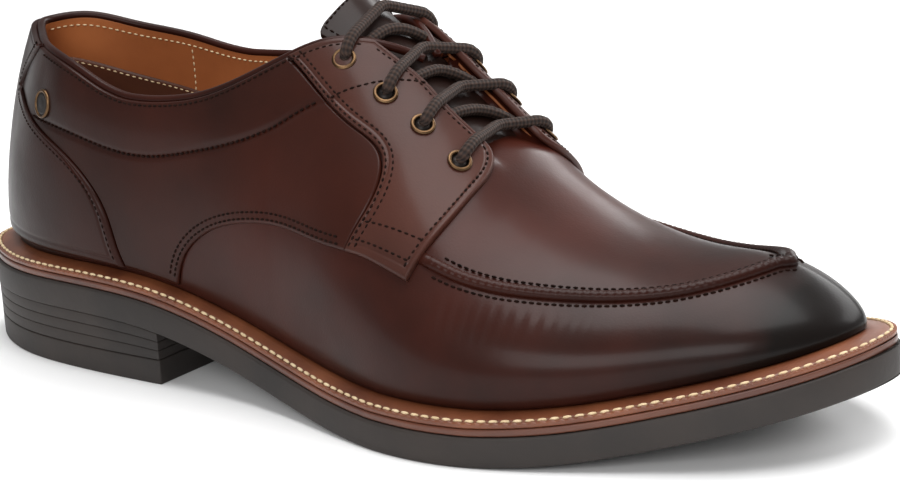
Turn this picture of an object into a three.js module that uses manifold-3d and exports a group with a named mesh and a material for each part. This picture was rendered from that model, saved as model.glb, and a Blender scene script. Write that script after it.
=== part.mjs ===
// An apron-toe derby shoe for the right foot, standing empty on its heel and the ball of its sole.
// The outsole runs from x = 0 at the heel to x = LENGTH at the toe while the shoe is worked out,
// +Y is the inner (medial) side and +Z is up from the floor. Lengths are millimetres.

import * as THREE from 'three';
import { mergeVertices } from 'three/addons/utils/BufferGeometryUtils.js';
import Module from 'manifold-3d';

const wasm = await Module();
wasm.setup();

// Driving dimensions
const LENGTH = 304;             // outsole, heel to toe
const BALL_WIDTH = 108;         // outsole across the ball of the foot
const INSTEP_RISE = 85;         // feather line up to the top of the facings
const HEEL_HEIGHT = 17.6;       // floor to the outsole at the heel seat
const TOE_SPRING = 17.5;        // floor to the outsole at the toe tip
const SEAM_GAP = 0.3;           // between pieces that meet
const PANEL_LIFT = 0.65;        // between the upper's curve and the panels that lie on it

const OUTSOLE_THICKNESS = 8.2;
const MIDSOLE_THICKNESS = 1.6;
const WELT_EDGE = 1.3;          // welt at its outer edge
const WELT_RISE = 1.6;          // from that edge up to the feather line
const INSOLE_THICKNESS = 2.6;
const TOP_PIECE_HEIGHT = 7.4;   // rubber lift that the heel stands on
const HEEL_BREAST = 93.5;       // from the back of the outsole to the front of the heel
const HEEL_GROOVE = 0.5;        // depth of the grooves in the heel's side
const EDGE_BEVEL = 1.0;

const UPPER_WALL = 2.2;
const QUARTER_THICKNESS = 1.1;
const COUNTER_THICKNESS = 1.9;
const FACING_THICKNESS = 1.8;
const TONGUE_THICKNESS = 2.8;
const TONGUE_SLACK = 1.5;       // between the tongue and the upper's inside
const THROAT_HALF_WIDTH = 14.2;
const THROAT_END = 194;         // front of the throat, from the back of the outsole
const TONGUE_STICK_OUT = 12;    // tongue beyond the top of the facings
const SEAM_WIDTH = 3.6;         // raised apron seam
const SEAM_HEIGHT = 1.7;

const EYELET_OUTER = 3.45;      // radii
const EYELET_BORE = 2.25;
const EYELET_BARREL = 2.7;
const EYELET_FLANGE = 0.7;
const EYELET_DEPTH = 1.4;
const STUD_RADIUS = 4.3;
const STUD_HEIGHT = 1.1;
const LACE_RADIUS = 1.65;

const FEATHER = OUTSOLE_THICKNESS + MIDSOLE_THICKNESS + WELT_EDGE + WELT_RISE + 3 * SEAM_GAP;
const LATERAL = -1;
const MEDIAL = 1;

// A table is its column names and a row for each station; it comes back as one list per column.
function table(names, rows) {
  const columns = {};
  names.split(' ').forEach((name, i) => { columns[name] = rows.map((row) => row[i]); });
  return columns;
}

// Smooth cubic curve through the stations, level at an end where that is asked for.
function spline(at, values, levelStart = false, levelEnd = false) {
  const last = at.length - 1;
  const gap = (i) => at[i + 1] - at[i];
  const slope = (i) => (values[i + 1] - values[i]) / gap(i);
  const diagonal = [levelStart ? 2 * gap(0) : 1];
  const upper = [levelStart ? gap(0) : 0];
  const right = [levelStart ? 6 * slope(0) : 0];
  for (let i = 1; i <= last; i++) {
    const end = i === last;
    const lower = end ? (levelEnd ? gap(i - 1) : 0) : gap(i - 1);
    const middle = end ? (levelEnd ? 2 * gap(i - 1) : 1) : 2 * (gap(i - 1) + gap(i));
    const target = end ? (levelEnd ? -6 * slope(i - 1) : 0) : 6 * (slope(i) - slope(i - 1));
    const share = lower / diagonal[i - 1];
    diagonal.push(middle - share * upper[i - 1]);
    upper.push(end ? 0 : gap(i));
    right.push(target - share * right[i - 1]);
  }
  const bend = new Array(last + 1).fill(0);
  bend[last] = right[last] / diagonal[last];
  for (let i = last - 1; i >= 0; i--) bend[i] = (right[i] - upper[i] * bend[i + 1]) / diagonal[i];
  return (where) => {
    const x = THREE.MathUtils.clamp(where, at[0], at[last]);
    let i = 0;
    while (i < last - 1 && x > at[i + 1]) i++;
    const a = (at[i + 1] - x) / gap(i);
    const b = (x - at[i]) / gap(i);
    const curve = (a ** 3 - a) * bend[i] + (b ** 3 - b) * bend[i + 1];
    return a * values[i] + b * values[i + 1] + curve * gap(i) ** 2 / 6;
  };
}

// Sole
// `at` is the share of LENGTH, `heel` and `spring` are shares of HEEL_HEIGHT and TOE_SPRING.
const SOLE_PROFILE = table('at heel spring', [
  [0.00, 1.00, 0.00],
  [0.12, 1.00, 0.00],
  [0.24, 0.99, 0.00],
  [0.30, 0.90, 0.00],
  [0.36, 0.69, 0.00],
  [0.44, 0.35, 0.00],
  [0.53, 0.08, 0.00],
  [0.60, 0.00, 0.00],
  [0.70, 0.00, 0.00],
  [0.78, 0.00, 0.11],
  [0.86, 0.00, 0.38],
  [0.93, 0.00, 0.67],
  [1.00, 0.00, 1.00],
]);
const FLAT_FROM = 0.60;         // the outsole is flat on the floor between these shares of LENGTH
const FLAT_TO = 0.70;

// Half widths of the outsole as shares of BALL_WIDTH.
const OUTLINE = table('at lateral medial', [
  [0.000, 0.000, 0.000],
  [0.035, 0.162, 0.162],
  [0.110, 0.278, 0.273],
  [0.200, 0.326, 0.301],
  [0.300, 0.347, 0.287],
  [0.400, 0.367, 0.259],
  [0.500, 0.435, 0.287],
  [0.600, 0.524, 0.389],
  [0.680, 0.543, 0.454],
  [0.760, 0.489, 0.449],
  [0.840, 0.400, 0.384],
  [0.900, 0.326, 0.315],
  [0.950, 0.237, 0.236],
  [0.985, 0.122, 0.134],
  [1.000, -0.028, 0.028],
]);

// Feather line, where the upper meets the welt: its distance in from the outsole's edge.
const FEATHER_INSET = table('at inset', [
  [0.00, 8.3],
  [0.10, 8.2],
  [0.25, 6.8],
  [0.50, 6.2],
  [0.80, 7.2],
  [0.93, 8.6],
  [1.00, 8.8],
]);

const heelShare = spline(SOLE_PROFILE.at, SOLE_PROFILE.heel);
const springShare = spline(SOLE_PROFILE.at, SOLE_PROFILE.spring);

function soleBottom(x) {
  const at = THREE.MathUtils.clamp(x / LENGTH, 0, 1);
  const heel = at < FLAT_FROM ? Math.max(heelShare(at), 0) : 0;
  const spring = at > FLAT_TO ? Math.max(springShare(at), 0) : 0;
  return HEEL_HEIGHT * heel + TOE_SPRING * spring;
}

// `turn` runs 0 to 1 from heel to toe and is close-set at both round ends.
const turnOf = (share) => Math.acos(1 - 2 * share) / Math.PI;
const outlineTurns = OUTLINE.at.map(turnOf);
const halfWidth = {
  [LATERAL]: spline(outlineTurns, OUTLINE.lateral),
  [MEDIAL]: spline(outlineTurns, OUTLINE.medial),
};
const featherInset = spline(FEATHER_INSET.at, FEATHER_INSET.inset, true, true);

function edgePoint(side, turn) {
  const beyond = turn < 0 || turn > 1;
  const reflected = turn > 1 ? 2 - turn : Math.abs(turn);
  const facing = beyond ? -side : side;
  const x = LENGTH * (1 - Math.cos(Math.PI * reflected)) / 2;
  return new THREE.Vector2(x, facing * BALL_WIDTH * halfWidth[facing](reflected));
}

const SMALL_TURN = 1e-4;

function outward(side, turn) {
  const along = edgePoint(side, turn + SMALL_TURN).sub(edgePoint(side, turn - SMALL_TURN)).normalize();
  return new THREE.Vector2(along.y, -along.x).multiplyScalar(-side);
}

function insetPoint(side, turn, inset) {
  return edgePoint(side, turn).addScaledVector(outward(side, turn), -inset);
}

// Upper
// Its ribs stand on the feather line and rise to the top line, which follows the collar and then
// the ridge over the instep and vamp. x is a share of LENGTH, lateral and medial are shares of
// BALL_WIDTH, and the rises are shares of INSTEP_RISE above the feather line. `lean` is the
// rib's angle at its top in degrees. The reaches and the bulge shape each rib, as shares of it.
const TOP_LINE = table('at x lateral medial lateralRise medialRise lean topReach footReach bulge', [
  [0.00, 0.081, 0.014, 0.014, 0.780, 0.780, 60, 0.30, 0.36, 0.02],
  [0.10, 0.107, -0.083, 0.122, 0.758, 0.780, 66, 0.30, 0.36, 0.02],
  [0.20, 0.152, -0.188, 0.193, 0.739, 0.735, 75, 0.30, 0.34, 0.05],
  [0.30, 0.219, -0.253, 0.245, 0.673, 0.678, 82, 0.30, 0.30, 0.08],
  [0.38, 0.306, -0.268, 0.266, 0.630, 0.662, 84, 0.30, 0.29, 0.08],
  [0.42, 0.362, -0.252, 0.250, 0.745, 0.770, 76, 0.32, 0.29, 0.08],
  [0.46, 0.425, -0.200, 0.200, 0.900, 0.915, 62, 0.32, 0.30, 0.08],
  [0.50, 0.485, -0.105, 0.135, 1.015, 1.020, 42, 0.31, 0.32, 0.08],
  [0.53, 0.530, -0.030, 0.085, 0.975, 0.975, 20, 0.31, 0.33, 0.09],
  [0.56, 0.577, 0.034, 0.034, 0.855, 0.855, 0, 0.32, 0.34, 0.10],
  [0.61, 0.658, 0.042, 0.042, 0.608, 0.608, 0, 0.34, 0.34, 0.12],
  [0.66, 0.730, 0.044, 0.044, 0.436, 0.436, 0, 0.40, 0.34, 0.13],
  [0.71, 0.793, 0.044, 0.044, 0.348, 0.348, 0, 0.44, 0.33, 0.13],
  [0.77, 0.842, 0.043, 0.043, 0.307, 0.307, 0, 0.45, 0.31, 0.13],
  [0.84, 0.875, 0.041, 0.041, 0.282, 0.282, 0, 0.38, 0.26, 0.12],
  [0.92, 0.890, 0.039, 0.039, 0.266, 0.266, 0, 0.33, 0.22, 0.10],
  [1.00, 0.895, 0.037, 0.037, 0.260, 0.260, 0, 0.31, 0.20, 0.10],
]);
const RIDGE_START = 0.56;       // the top line's turn where the two sides meet over the instep
const SLOPE_FROM = 0.53;        // between these turns the ribs come to arrive along the ridge's slope
const SLOPE_TO = 0.60;

// The collar's edge, as a share of the ribs there.
const COLLAR = table('at rise', [
  [0.00, 1.000],
  [0.34, 1.000],
  [0.38, 0.990],
  [0.42, 0.925],
  [0.46, 0.918],
  [0.50, 0.938],
  [0.53, 0.970],
  [0.56, 1.000],
]);
const collarSpline = spline(COLLAR.at, COLLAR.rise, true, true);
const collarRise = (turn) => Math.min(collarSpline(turn), 1);

const level = (name) => spline(TOP_LINE.at, TOP_LINE[name], true, true);
const topX = level('x');
const topLean = level('lean');
const topReach = level('topReach');
const footReach = level('footReach');
const ribBulge = level('bulge');
const ridgeRow = TOP_LINE.at.indexOf(RIDGE_START);
const ridgeY = spline(TOP_LINE.at.slice(ridgeRow), TOP_LINE.lateral.slice(ridgeRow), true, true);
const ridgeRise = level('lateralRise');

function collarThenRidge(collar, ridge) {
  return (turn) => (turn < RIDGE_START ? collar(turn) : ridge(turn));
}

function collarY(name) {
  return spline(TOP_LINE.at.slice(0, ridgeRow + 1), TOP_LINE[name].slice(0, ridgeRow + 1), false, true);
}

const topY = {
  [LATERAL]: collarThenRidge(collarY('lateral'), ridgeY),
  [MEDIAL]: collarThenRidge(collarY('medial'), ridgeY),
};
const topRise = { [LATERAL]: ridgeRise, [MEDIAL]: collarThenRidge(level('medialRise'), ridgeRise) };

function topPoint(side, turn) {
  const x = LENGTH * topX(turn);
  const z = soleBottom(x) + FEATHER + INSTEP_RISE * topRise[side](turn);
  return new THREE.Vector3(x, BALL_WIDTH * topY[side](turn), z);
}

// Slope of the ridge, which all ribs share where they meet on it.
const ridgeHeight = spline(
  TOP_LINE.x.slice(ridgeRow),
  TOP_LINE.at.slice(ridgeRow).map((turn) => topPoint(LATERAL, turn).z),
);
const SMALL_SHARE = 1e-3;

function ridgeSlope(turn) {
  const at = THREE.MathUtils.clamp(topX(turn), TOP_LINE.x[ridgeRow] + SMALL_SHARE, TOP_LINE.x.at(-1));
  const climb = ridgeHeight(at) - ridgeHeight(at - SMALL_SHARE);
  return climb / (SMALL_SHARE * LENGTH);
}

const UPRIGHT_REACH = 6;        // ribs whose foot is nearer than this below their top stand upright
const SLANTED_REACH = 20;

function rib(side, turn) {
  const out = outward(side, turn);
  const foot = insetPoint(side, turn, featherInset(turn));
  const start = new THREE.Vector3(foot.x, foot.y, soleBottom(foot.x) + FEATHER);
  const end = topPoint(side, turn);
  const chord = start.distanceTo(end);
  const plan = new THREE.Vector2(end.x - start.x, end.y - start.y);
  const slanted = THREE.MathUtils.clamp(
    (plan.length() - UPRIGHT_REACH) / (SLANTED_REACH - UPRIGHT_REACH), 0, 1);
  const inward = plan.normalize().multiplyScalar(slanted).addScaledVector(out, slanted - 1).normalize();
  const settled = THREE.MathUtils.smoothstep(turn, SLOPE_FROM, SLOPE_TO);
  const lean = THREE.MathUtils.degToRad(topLean(turn)) + settled * Math.atan(ridgeSlope(turn) * inward.x);
  const arrive = new THREE.Vector3(
    inward.x * Math.cos(lean), inward.y * Math.cos(lean), Math.sin(lean));
  const leave = new THREE.Vector3(out.x * ribBulge(turn), out.y * ribBulge(turn), footReach(turn));
  return new THREE.CubicBezierCurve3(
    start,
    start.clone().addScaledVector(leave, chord),
    end.clone().addScaledVector(arrive, -chord * topReach(turn)),
    end,
  );
}

// Point of the upper's outer surface: `rise` runs 0 to 1 from the feather line to the top line.
// Past the heel seam, the toe's middle or the ridge it goes on over the other side.
function skin(side, turn, rise) {
  if (turn < 0) return skin(-side, -turn, rise);
  if (turn > 1) return skin(-side, 2 - turn, rise);
  if (rise > 1) return skin(-side, turn, 2 - rise);
  return rib(side, turn).getPoint(rise);
}

const SMALL_STEP = 2e-3;

function skinDirections(side, turn, rise) {
  const crossesRidge = turn >= RIDGE_START;
  const above = crossesRidge ? rise + SMALL_STEP : Math.min(rise + SMALL_STEP, 1);
  const below = Math.max(rise - SMALL_STEP, 0);
  const along = skin(side, turn + SMALL_STEP, rise).sub(skin(side, turn - SMALL_STEP, rise));
  const up = skin(side, turn, above).sub(skin(side, turn, below));
  return {
    along: along.divideScalar(2 * SMALL_STEP),
    up: up.divideScalar(above - below),
  };
}

function skinNormal(side, turn, rise) {
  const { along, up } = skinDirections(side, turn, rise);
  return along.cross(up).multiplyScalar(-side).normalize();
}

function raised(side, turn, rise, height) {
  return skin(side, turn, rise).addScaledVector(skinNormal(side, turn, rise), height);
}

// Solids
// Triangles are gathered as plain corner positions and welded into one closed body.
class Body {
  constructor() {
    this.corners = [];
  }

  triangle(a, b, c) {
    this.corners.push(a, b, c);
  }

  quad(a, b, c, d) {
    this.triangle(a, b, c);
    this.triangle(a, c, d);
  }

  strip(first, second) {
    for (let i = 0; i < first.length - 1; i++) this.quad(first[i], first[i + 1], second[i + 1], second[i]);
  }

  geometry() {
    const soup = new THREE.BufferGeometry();
    const numbers = this.corners.flatMap((p) => p.toArray());
    soup.setAttribute('position', new THREE.Float32BufferAttribute(numbers, 3));
    return outwardFacing(withoutSlivers(mergeVertices(soup, WELD)));
  }
}

const WELD = 1e-3;

function withoutSlivers(geometry) {
  const kept = [];
  const index = geometry.index.array;
  for (let i = 0; i < index.length; i += 3) {
    const [a, b, c] = index.slice(i, i + 3);
    if (a !== b && b !== c && c !== a) kept.push(a, b, c);
  }
  geometry.setIndex(kept);
  return geometry;
}

function outwardFacing(geometry) {
  const place = geometry.attributes.position;
  const index = [...geometry.index.array];
  const corner = (i) => new THREE.Vector3().fromBufferAttribute(place, index[i]);
  let volume = 0;
  for (let i = 0; i < index.length; i += 3) volume += corner(i).dot(corner(i + 1).cross(corner(i + 2)));
  if (volume < 0) index.reverse();
  geometry.setIndex(index);
  return geometry;
}

// A panel between two sheets of points with the same rows and columns.
function panel(outer, inner) {
  const body = new Body();
  const rows = outer.length - 1;
  const column = (sheet, j) => sheet.map((row) => row[j]);
  for (let i = 0; i < rows; i++) {
    body.strip(outer[i + 1], outer[i]);
    body.strip(inner[i], inner[i + 1]);
  }
  const last = outer[0].length - 1;
  body.strip(outer[0], inner[0]);
  body.strip(inner[rows], outer[rows]);
  body.strip(column(inner, 0), column(outer, 0));
  body.strip(column(outer, last), column(inner, last));
  return body.geometry();
}

const steps = (count, from, to) =>
  Array.from({ length: count + 1 }, (_, i) => from + (to - from) * i / count);

function toSolid(geometry) {
  const { position } = geometry.attributes;
  const mesh = new wasm.Mesh({
    numProp: 3,
    vertProperties: new Float32Array(position.array),
    triVerts: new Uint32Array(geometry.index.array),
  });
  return new wasm.Manifold(mesh);
}

function fromSolid(solid) {
  const { vertProperties, triVerts } = solid.getMesh();
  const geometry = new THREE.BufferGeometry();
  geometry.setAttribute('position', new THREE.BufferAttribute(vertProperties, 3));
  geometry.setIndex(new THREE.BufferAttribute(triVerts, 1));
  return geometry;
}

function welded(geometry) {
  geometry.deleteAttribute('normal');
  geometry.deleteAttribute('uv');
  return withoutSlivers(mergeVertices(geometry, WELD));
}

function cut(geometry, ...tools) {
  return fromSolid(tools.reduce((solid, tool) => solid.subtract(toSolid(tool)), toSolid(geometry)));
}

// Sole layers
// The ring goes up the lateral side and back down the medial side. A level is an inset from the
// outsole's edge and a height for a point of that ring.
const SOLE_COLUMNS = 34;
const HEEL_COLUMNS = 14;

function ring(turns, point) {
  const closed = turns.at(-1) === 1;
  const back = [...turns].reverse().slice(closed ? 1 : 0, -1);
  return [...turns.map((turn) => point(LATERAL, turn)), ...back.map((turn) => point(MEDIAL, turn))];
}

function levelRing(turns, { inset, height }) {
  return ring(turns, (side, turn) => {
    const depth = typeof inset === 'function' ? inset(turn) : inset;
    const place = insetPoint(side, turn, depth);
    return new THREE.Vector3(place.x, place.y, height(place.x));
  });
}

// A slab closed above and below, or with `open` a band closed through its middle.
function layer(turns, levels, open = false) {
  const body = new Body();
  const rings = levels.map((one) => levelRing(turns, one));
  const around = (points) => [...points, points[0]];
  for (let i = 0; i < rings.length - 1; i++) body.strip(around(rings[i]), around(rings[i + 1]));
  if (open) {
    body.strip(around(rings.at(-1)), around(rings[0]));
    return body.geometry();
  }
  const cap = (points) => {
    const count = turns.length;
    const medial = (i) => (i === 0 ? points[0] : points[(points.length - i) % points.length]);
    const toeClosed = turns.at(-1) === 1;
    const inner = turns.map((_, i) => (toeClosed && i === count - 1 ? points[i] : medial(i)));
    return [points.slice(0, count), inner];
  };
  const [bottomLateral, bottomMedial] = cap(rings[0]);
  const [topLateral, topMedial] = cap(rings.at(-1));
  body.strip(bottomMedial, bottomLateral);
  body.strip(topLateral, topMedial);
  return body.geometry();
}

const fromSole = (height) => (x) => soleBottom(x) + height;
const flat = (height) => () => height;
const soleTurns = steps(SOLE_COLUMNS, 0, 1);
const heelTurns = steps(HEEL_COLUMNS, 0, turnOf(HEEL_BREAST / LENGTH));

const outsole = () => layer(soleTurns, [
  { inset: EDGE_BEVEL, height: fromSole(0) },
  { inset: 0, height: fromSole(EDGE_BEVEL) },
  { inset: 0, height: fromSole(OUTSOLE_THICKNESS - EDGE_BEVEL) },
  { inset: EDGE_BEVEL, height: fromSole(OUTSOLE_THICKNESS) },
]);

const MIDSOLE_INSET = 0.9;
const midsoleBottom = OUTSOLE_THICKNESS + SEAM_GAP;
const midsole = () => layer(soleTurns, [
  { inset: MIDSOLE_INSET, height: fromSole(midsoleBottom) },
  { inset: MIDSOLE_INSET, height: fromSole(midsoleBottom + MIDSOLE_THICKNESS) },
]);

// The welt is a band around the whole shoe, under the feather line. Its stitch line lies near
// its outer edge and its inner edge is under the insole.
const WELT_INSET = 1.1;
const WELT_LIP = 1.3;
const WELT_TUCK = 5;
const weltBottom = midsoleBottom + MIDSOLE_THICKNESS + SEAM_GAP;
const weltTop = weltBottom + WELT_EDGE + WELT_RISE;
const welt = () => layer(soleTurns, [
  { inset: WELT_INSET, height: fromSole(weltBottom) },
  { inset: WELT_INSET, height: fromSole(weltBottom + WELT_EDGE) },
  { inset: WELT_INSET + WELT_LIP, height: fromSole(weltBottom + WELT_EDGE) },
  { inset: (turn) => featherInset(turn) - WELT_LIP, height: fromSole(weltTop) },
  { inset: (turn) => featherInset(turn) + WELT_TUCK, height: fromSole(weltTop) },
  { inset: (turn) => featherInset(turn) + WELT_TUCK, height: fromSole(weltBottom) },
], true);

const insoleInset = (turn) => featherInset(turn) + UPPER_WALL + SEAM_GAP;
const insole = () => layer(soleTurns, [
  { inset: insoleInset, height: fromSole(FEATHER) },
  { inset: insoleInset, height: fromSole(FEATHER + INSOLE_THICKNESS) },
]);

// The heel is a block with fine grooves under the outsole, on a rubber top piece.
const HEEL_GROOVE_SHARES = [0.34, 0.67];
const HEEL_GROOVE_HALF = 0.06;
const HEEL_INSET = 0.5;

function heelBlock() {
  const bottom = TOP_PIECE_HEIGHT + SEAM_GAP;
  const at = (share) => (x) => bottom + (soleBottom(x) - SEAM_GAP - bottom) * share;
  const grooves = HEEL_GROOVE_SHARES.flatMap((share) => [
    { inset: HEEL_INSET, height: at(share - HEEL_GROOVE_HALF) },
    { inset: HEEL_INSET + HEEL_GROOVE, height: at(share) },
    { inset: HEEL_INSET, height: at(share + HEEL_GROOVE_HALF) },
  ]);
  return layer(heelTurns, [
    { inset: HEEL_INSET, height: at(0) },
    ...grooves,
    { inset: HEEL_INSET, height: at(1) },
  ]);
}

const heelTopPiece = () => layer(heelTurns, [
  { inset: HEEL_INSET + EDGE_BEVEL, height: flat(0) },
  { inset: HEEL_INSET, height: flat(EDGE_BEVEL) },
  { inset: HEEL_INSET, height: flat(TOP_PIECE_HEIGHT) },
]);

// Upper, one hollow wall open at the collar, the throat and underneath
const COLLAR_TURNS = [...steps(10, 0, 0.40), ...steps(8, 0.40, RIDGE_START).slice(1)];
const RIDGE_TURNS = steps(15, RIDGE_START, 1).slice(1);
const COLLAR_COLUMNS = COLLAR_TURNS.length - 1;
const UPPER_ROWS = 10;

function upperShell() {
  const body = new Body();
  const turns = [...COLLAR_TURNS, ...RIDGE_TURNS];
  const shares = steps(UPPER_ROWS, 0, 1);
  const sheet = (height) => shares.map((share) => ring(turns, (side, turn) => {
    const onRidge = share === 1 && turn >= RIDGE_START;
    return raised(onRidge ? LATERAL : side, turn, share * collarRise(turn), height);
  }));
  const around = (points) => [...points, points[0]];
  const outer = sheet(0);
  const inner = sheet(-UPPER_WALL);
  for (let i = 0; i < UPPER_ROWS; i++) {
    body.strip(around(outer[i]), around(outer[i + 1]));
    body.strip(around(inner[i + 1]), around(inner[i]));
  }
  body.strip(around(inner[0]), around(outer[0]));
  const collar = (points) => [...points.slice(-COLLAR_COLUMNS), ...points.slice(0, COLLAR_COLUMNS + 1)];
  body.strip(collar(outer.at(-1)), collar(inner.at(-1)));
  return body.geometry();
}

// Prism through the top of the instep, round at its front.
function throatTool() {
  const middle = BALL_WIDTH * topY[LATERAL](RIDGE_START);
  const round = THROAT_HALF_WIDTH * 0.6;
  const back = LENGTH * topX(SLOPE_FROM) - 2 * THROAT_HALF_WIDTH;
  const shape = new THREE.Shape();
  shape.moveTo(back, middle - THROAT_HALF_WIDTH);
  shape.lineTo(THROAT_END - round, middle - THROAT_HALF_WIDTH);
  shape.quadraticCurveTo(THROAT_END, middle - THROAT_HALF_WIDTH, THROAT_END, middle);
  const far = middle + THROAT_HALF_WIDTH;
  shape.quadraticCurveTo(THROAT_END, far, THROAT_END - round, far);
  shape.lineTo(back, middle + THROAT_HALF_WIDTH);
  shape.closePath();
  const settings = { depth: INSTEP_RISE, bevelEnabled: false, curveSegments: 4 };
  const prism = new THREE.ExtrudeGeometry(shape, settings);
  return welded(prism.translate(0, 0, FEATHER + INSTEP_RISE / 2));
}

const upper = () => cut(upperShell(), throatTool());

// Seams of the panels that lie on the upper, as turn and rise, read from top to bottom
const COUNTER_SEAM = table('turn rise', [
  [0.190, 0.985],
  [0.145, 0.878],
  [0.105, 0.765],
  [0.098, 0.712],
  [0.140, 0.682],
  [0.190, 0.658],
  [0.250, 0.600],
  [0.305, 0.500],
  [0.330, 0.338],
  [0.337, 0.150],
  [0.341, 0.035],
]);
const REAR_SEAM = table('turn rise', [
  [0.478, 0.909],
  [0.503, 0.757],
  [0.534, 0.652],
  [0.550, 0.605],
  [0.554, 0.550],
  [0.552, 0.475],
  [0.543, 0.375],
  [0.541, 0.352],
]);
const FACING_FRONT = table('turn rise', [
  [0.522, 0.947],
  [0.537, 0.907],
  [0.551, 0.876],
  [0.564, 0.858],
  [0.586, 0.856],
  [0.596, 0.848],
  [0.601, 0.790],
  [0.601, 0.710],
  [0.597, 0.565],
  [0.591, 0.448],
  [0.586, 0.352],
]);
const WING = table('turn rise', [
  [0.389, 0.035],
  [0.393, 0.120],
  [0.401, 0.228],
  [0.418, 0.338],
  [0.448, 0.406],
  [0.482, 0.394],
  [0.510, 0.364],
  [0.541, 0.352],
]);
const APRON_SEAM = table('turn rise', [
  [0.600, 0.438],
  [0.612, 0.444],
  [0.645, 0.480],
  [0.680, 0.527],
  [0.725, 0.578],
  [0.755, 0.613],
  [0.789, 0.672],
  [0.823, 0.742],
  [0.870, 0.825],
  [0.930, 0.868],
  [1.000, 0.880],
]);

// A seam as a smooth curve of (turn, rise), by its own length.
function seam({ turn, rise }, levelEnd = false) {
  const reach = [0];
  for (let i = 1; i < turn.length; i++) {
    const from = skin(LATERAL, turn[i - 1], rise[i - 1]);
    reach.push(reach[i - 1] + from.distanceTo(skin(LATERAL, turn[i], rise[i])));
  }
  const at = reach.map((one) => one / reach.at(-1));
  const turns = spline(at, turn);
  const rises = spline(at, rise, false, levelEnd);
  return (share) => ({ turn: turns(share), rise: rises(share) });
}

// The place reached by a step of `distance` across a seam, towards the toe or up where positive.
function beside(side, { turn, rise }, next, distance) {
  const { along, up } = skinDirections(side, turn, rise);
  const tangent = along.clone().multiplyScalar(next.turn - turn).addScaledVector(up, next.rise - rise);
  const normal = along.clone().cross(up).normalize();
  const across = normal.cross(tangent).normalize().multiplyScalar(distance);
  const aa = along.dot(along);
  const bb = up.dot(up);
  const ab = along.dot(up);
  const a = across.dot(along);
  const b = across.dot(up);
  const scale = aa * bb - ab * ab;
  return { turn: turn + (a * bb - b * ab) / scale, rise: rise + (b * aa - a * ab) / scale };
}

function shifted(curve, distance) {
  return (share) => {
    const ahead = Math.min(share + SMALL_SHARE, 1);
    const here = curve(ahead - SMALL_SHARE);
    return beside(LATERAL, here, curve(ahead), distance);
  };
}

// Sheet of points over the patch between four edges, by blending them.
function patch(side, { left, right, bottom, top, rows, columns }, height) {
  return steps(rows, 0, 1).map((down) => steps(columns, 0, 1).map((over) => {
    const blend = (name) => {
      const sides = left(down)[name] * (1 - over) + right(down)[name] * over;
      const ends = top(over)[name] * (1 - down) + bottom(over)[name] * down;
      const upperCorners = top(0)[name] * (1 - over) + top(1)[name] * over;
      const lowerCorners = bottom(0)[name] * (1 - over) + bottom(1)[name] * over;
      return sides + ends - upperCorners * (1 - down) - lowerCorners * down;
    };
    return raised(side, blend('turn'), blend('rise'), height);
  }));
}

const between = (from, to) => (share) => ({
  turn: from.turn + (to.turn - from.turn) * share,
  rise: from.rise + (to.rise - from.rise) * share,
});

// Between two places near the collar's edge, keeping to its curve.
function underCollar(from, to) {
  const straight = between(from, to);
  const chord = between({ rise: collarRise(from.turn) }, { rise: collarRise(to.turn) });
  return (share) => {
    const { turn, rise } = straight(share);
    return { turn, rise: rise + collarRise(turn) - chord(share).rise };
  };
}

function panelOn(side, edges, thickness) {
  return panel(patch(side, edges, PANEL_LIFT + thickness), patch(side, edges, PANEL_LIFT));
}

const counterEdge = seam(COUNTER_SEAM);
const rearEdge = seam(REAR_SEAM);
const frontEdge = seam(FACING_FRONT);
const wingEdge = seam(WING);

const FOOT_SHARE = 1 / 6;       // of the quarter's columns, the part that stands on the welt
const SEAM_ROWS = 13;           // the panels on both sides of a seam share its rows
const QUARTER_COLUMNS = 12;
const FACING_COLUMNS = 6;
const COUNTER_HALF_COLUMNS = 8;

function quarter(side) {
  const left = shifted(counterEdge, SEAM_GAP / 2);
  const right = shifted(rearEdge, -SEAM_GAP / 2);
  const foot = between(left(1), wingEdge(0));
  const wing = (share) => {
    const here = wingEdge(share);
    return {
      turn: here.turn + (right(1).turn - wingEdge(1).turn) * share,
      rise: here.rise + (right(1).rise - wingEdge(1).rise) * share,
    };
  };
  const bottom = (share) =>
    (share < FOOT_SHARE ? foot(share / FOOT_SHARE) : wing((share - FOOT_SHARE) / (1 - FOOT_SHARE)));
  const top = underCollar(left(0), right(0));
  const edges = { left, right, bottom, top, rows: SEAM_ROWS, columns: QUARTER_COLUMNS };
  return panelOn(side, edges, QUARTER_THICKNESS);
}

function facing(side) {
  const left = shifted(rearEdge, SEAM_GAP / 2);
  const edges = {
    left,
    right: frontEdge,
    bottom: between(left(1), frontEdge(1)),
    top: underCollar(left(0), frontEdge(0)),
    rows: SEAM_ROWS,
    columns: FACING_COLUMNS,
  };
  return panelOn(side, edges, FACING_THICKNESS);
}

// The counter wraps the heel from seam to seam.
function counter() {
  const edge = shifted(counterEdge, -SEAM_GAP / 2);
  const sheet = (height) => steps(SEAM_ROWS, 0, 1).map((down) => {
    const { turn, rise } = edge(down);
    return steps(2 * COUNTER_HALF_COLUMNS, -1, 1).map((share) => (
      raised(share < 0 ? LATERAL : MEDIAL, Math.abs(share) * turn, rise, height)));
  });
  return panel(sheet(PANEL_LIFT + COUNTER_THICKNESS), sheet(PANEL_LIFT));
}

// The raised seam runs from facing to facing around the apron, with a rounded back.
const SEAM_COLUMNS = 22;
const SEAM_BACK = table('across height', [
  [-0.5, 0],
  [-0.36, 0.75],
  [0, 1],
  [0.36, 0.75],
  [0.5, 0],
]);

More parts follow.
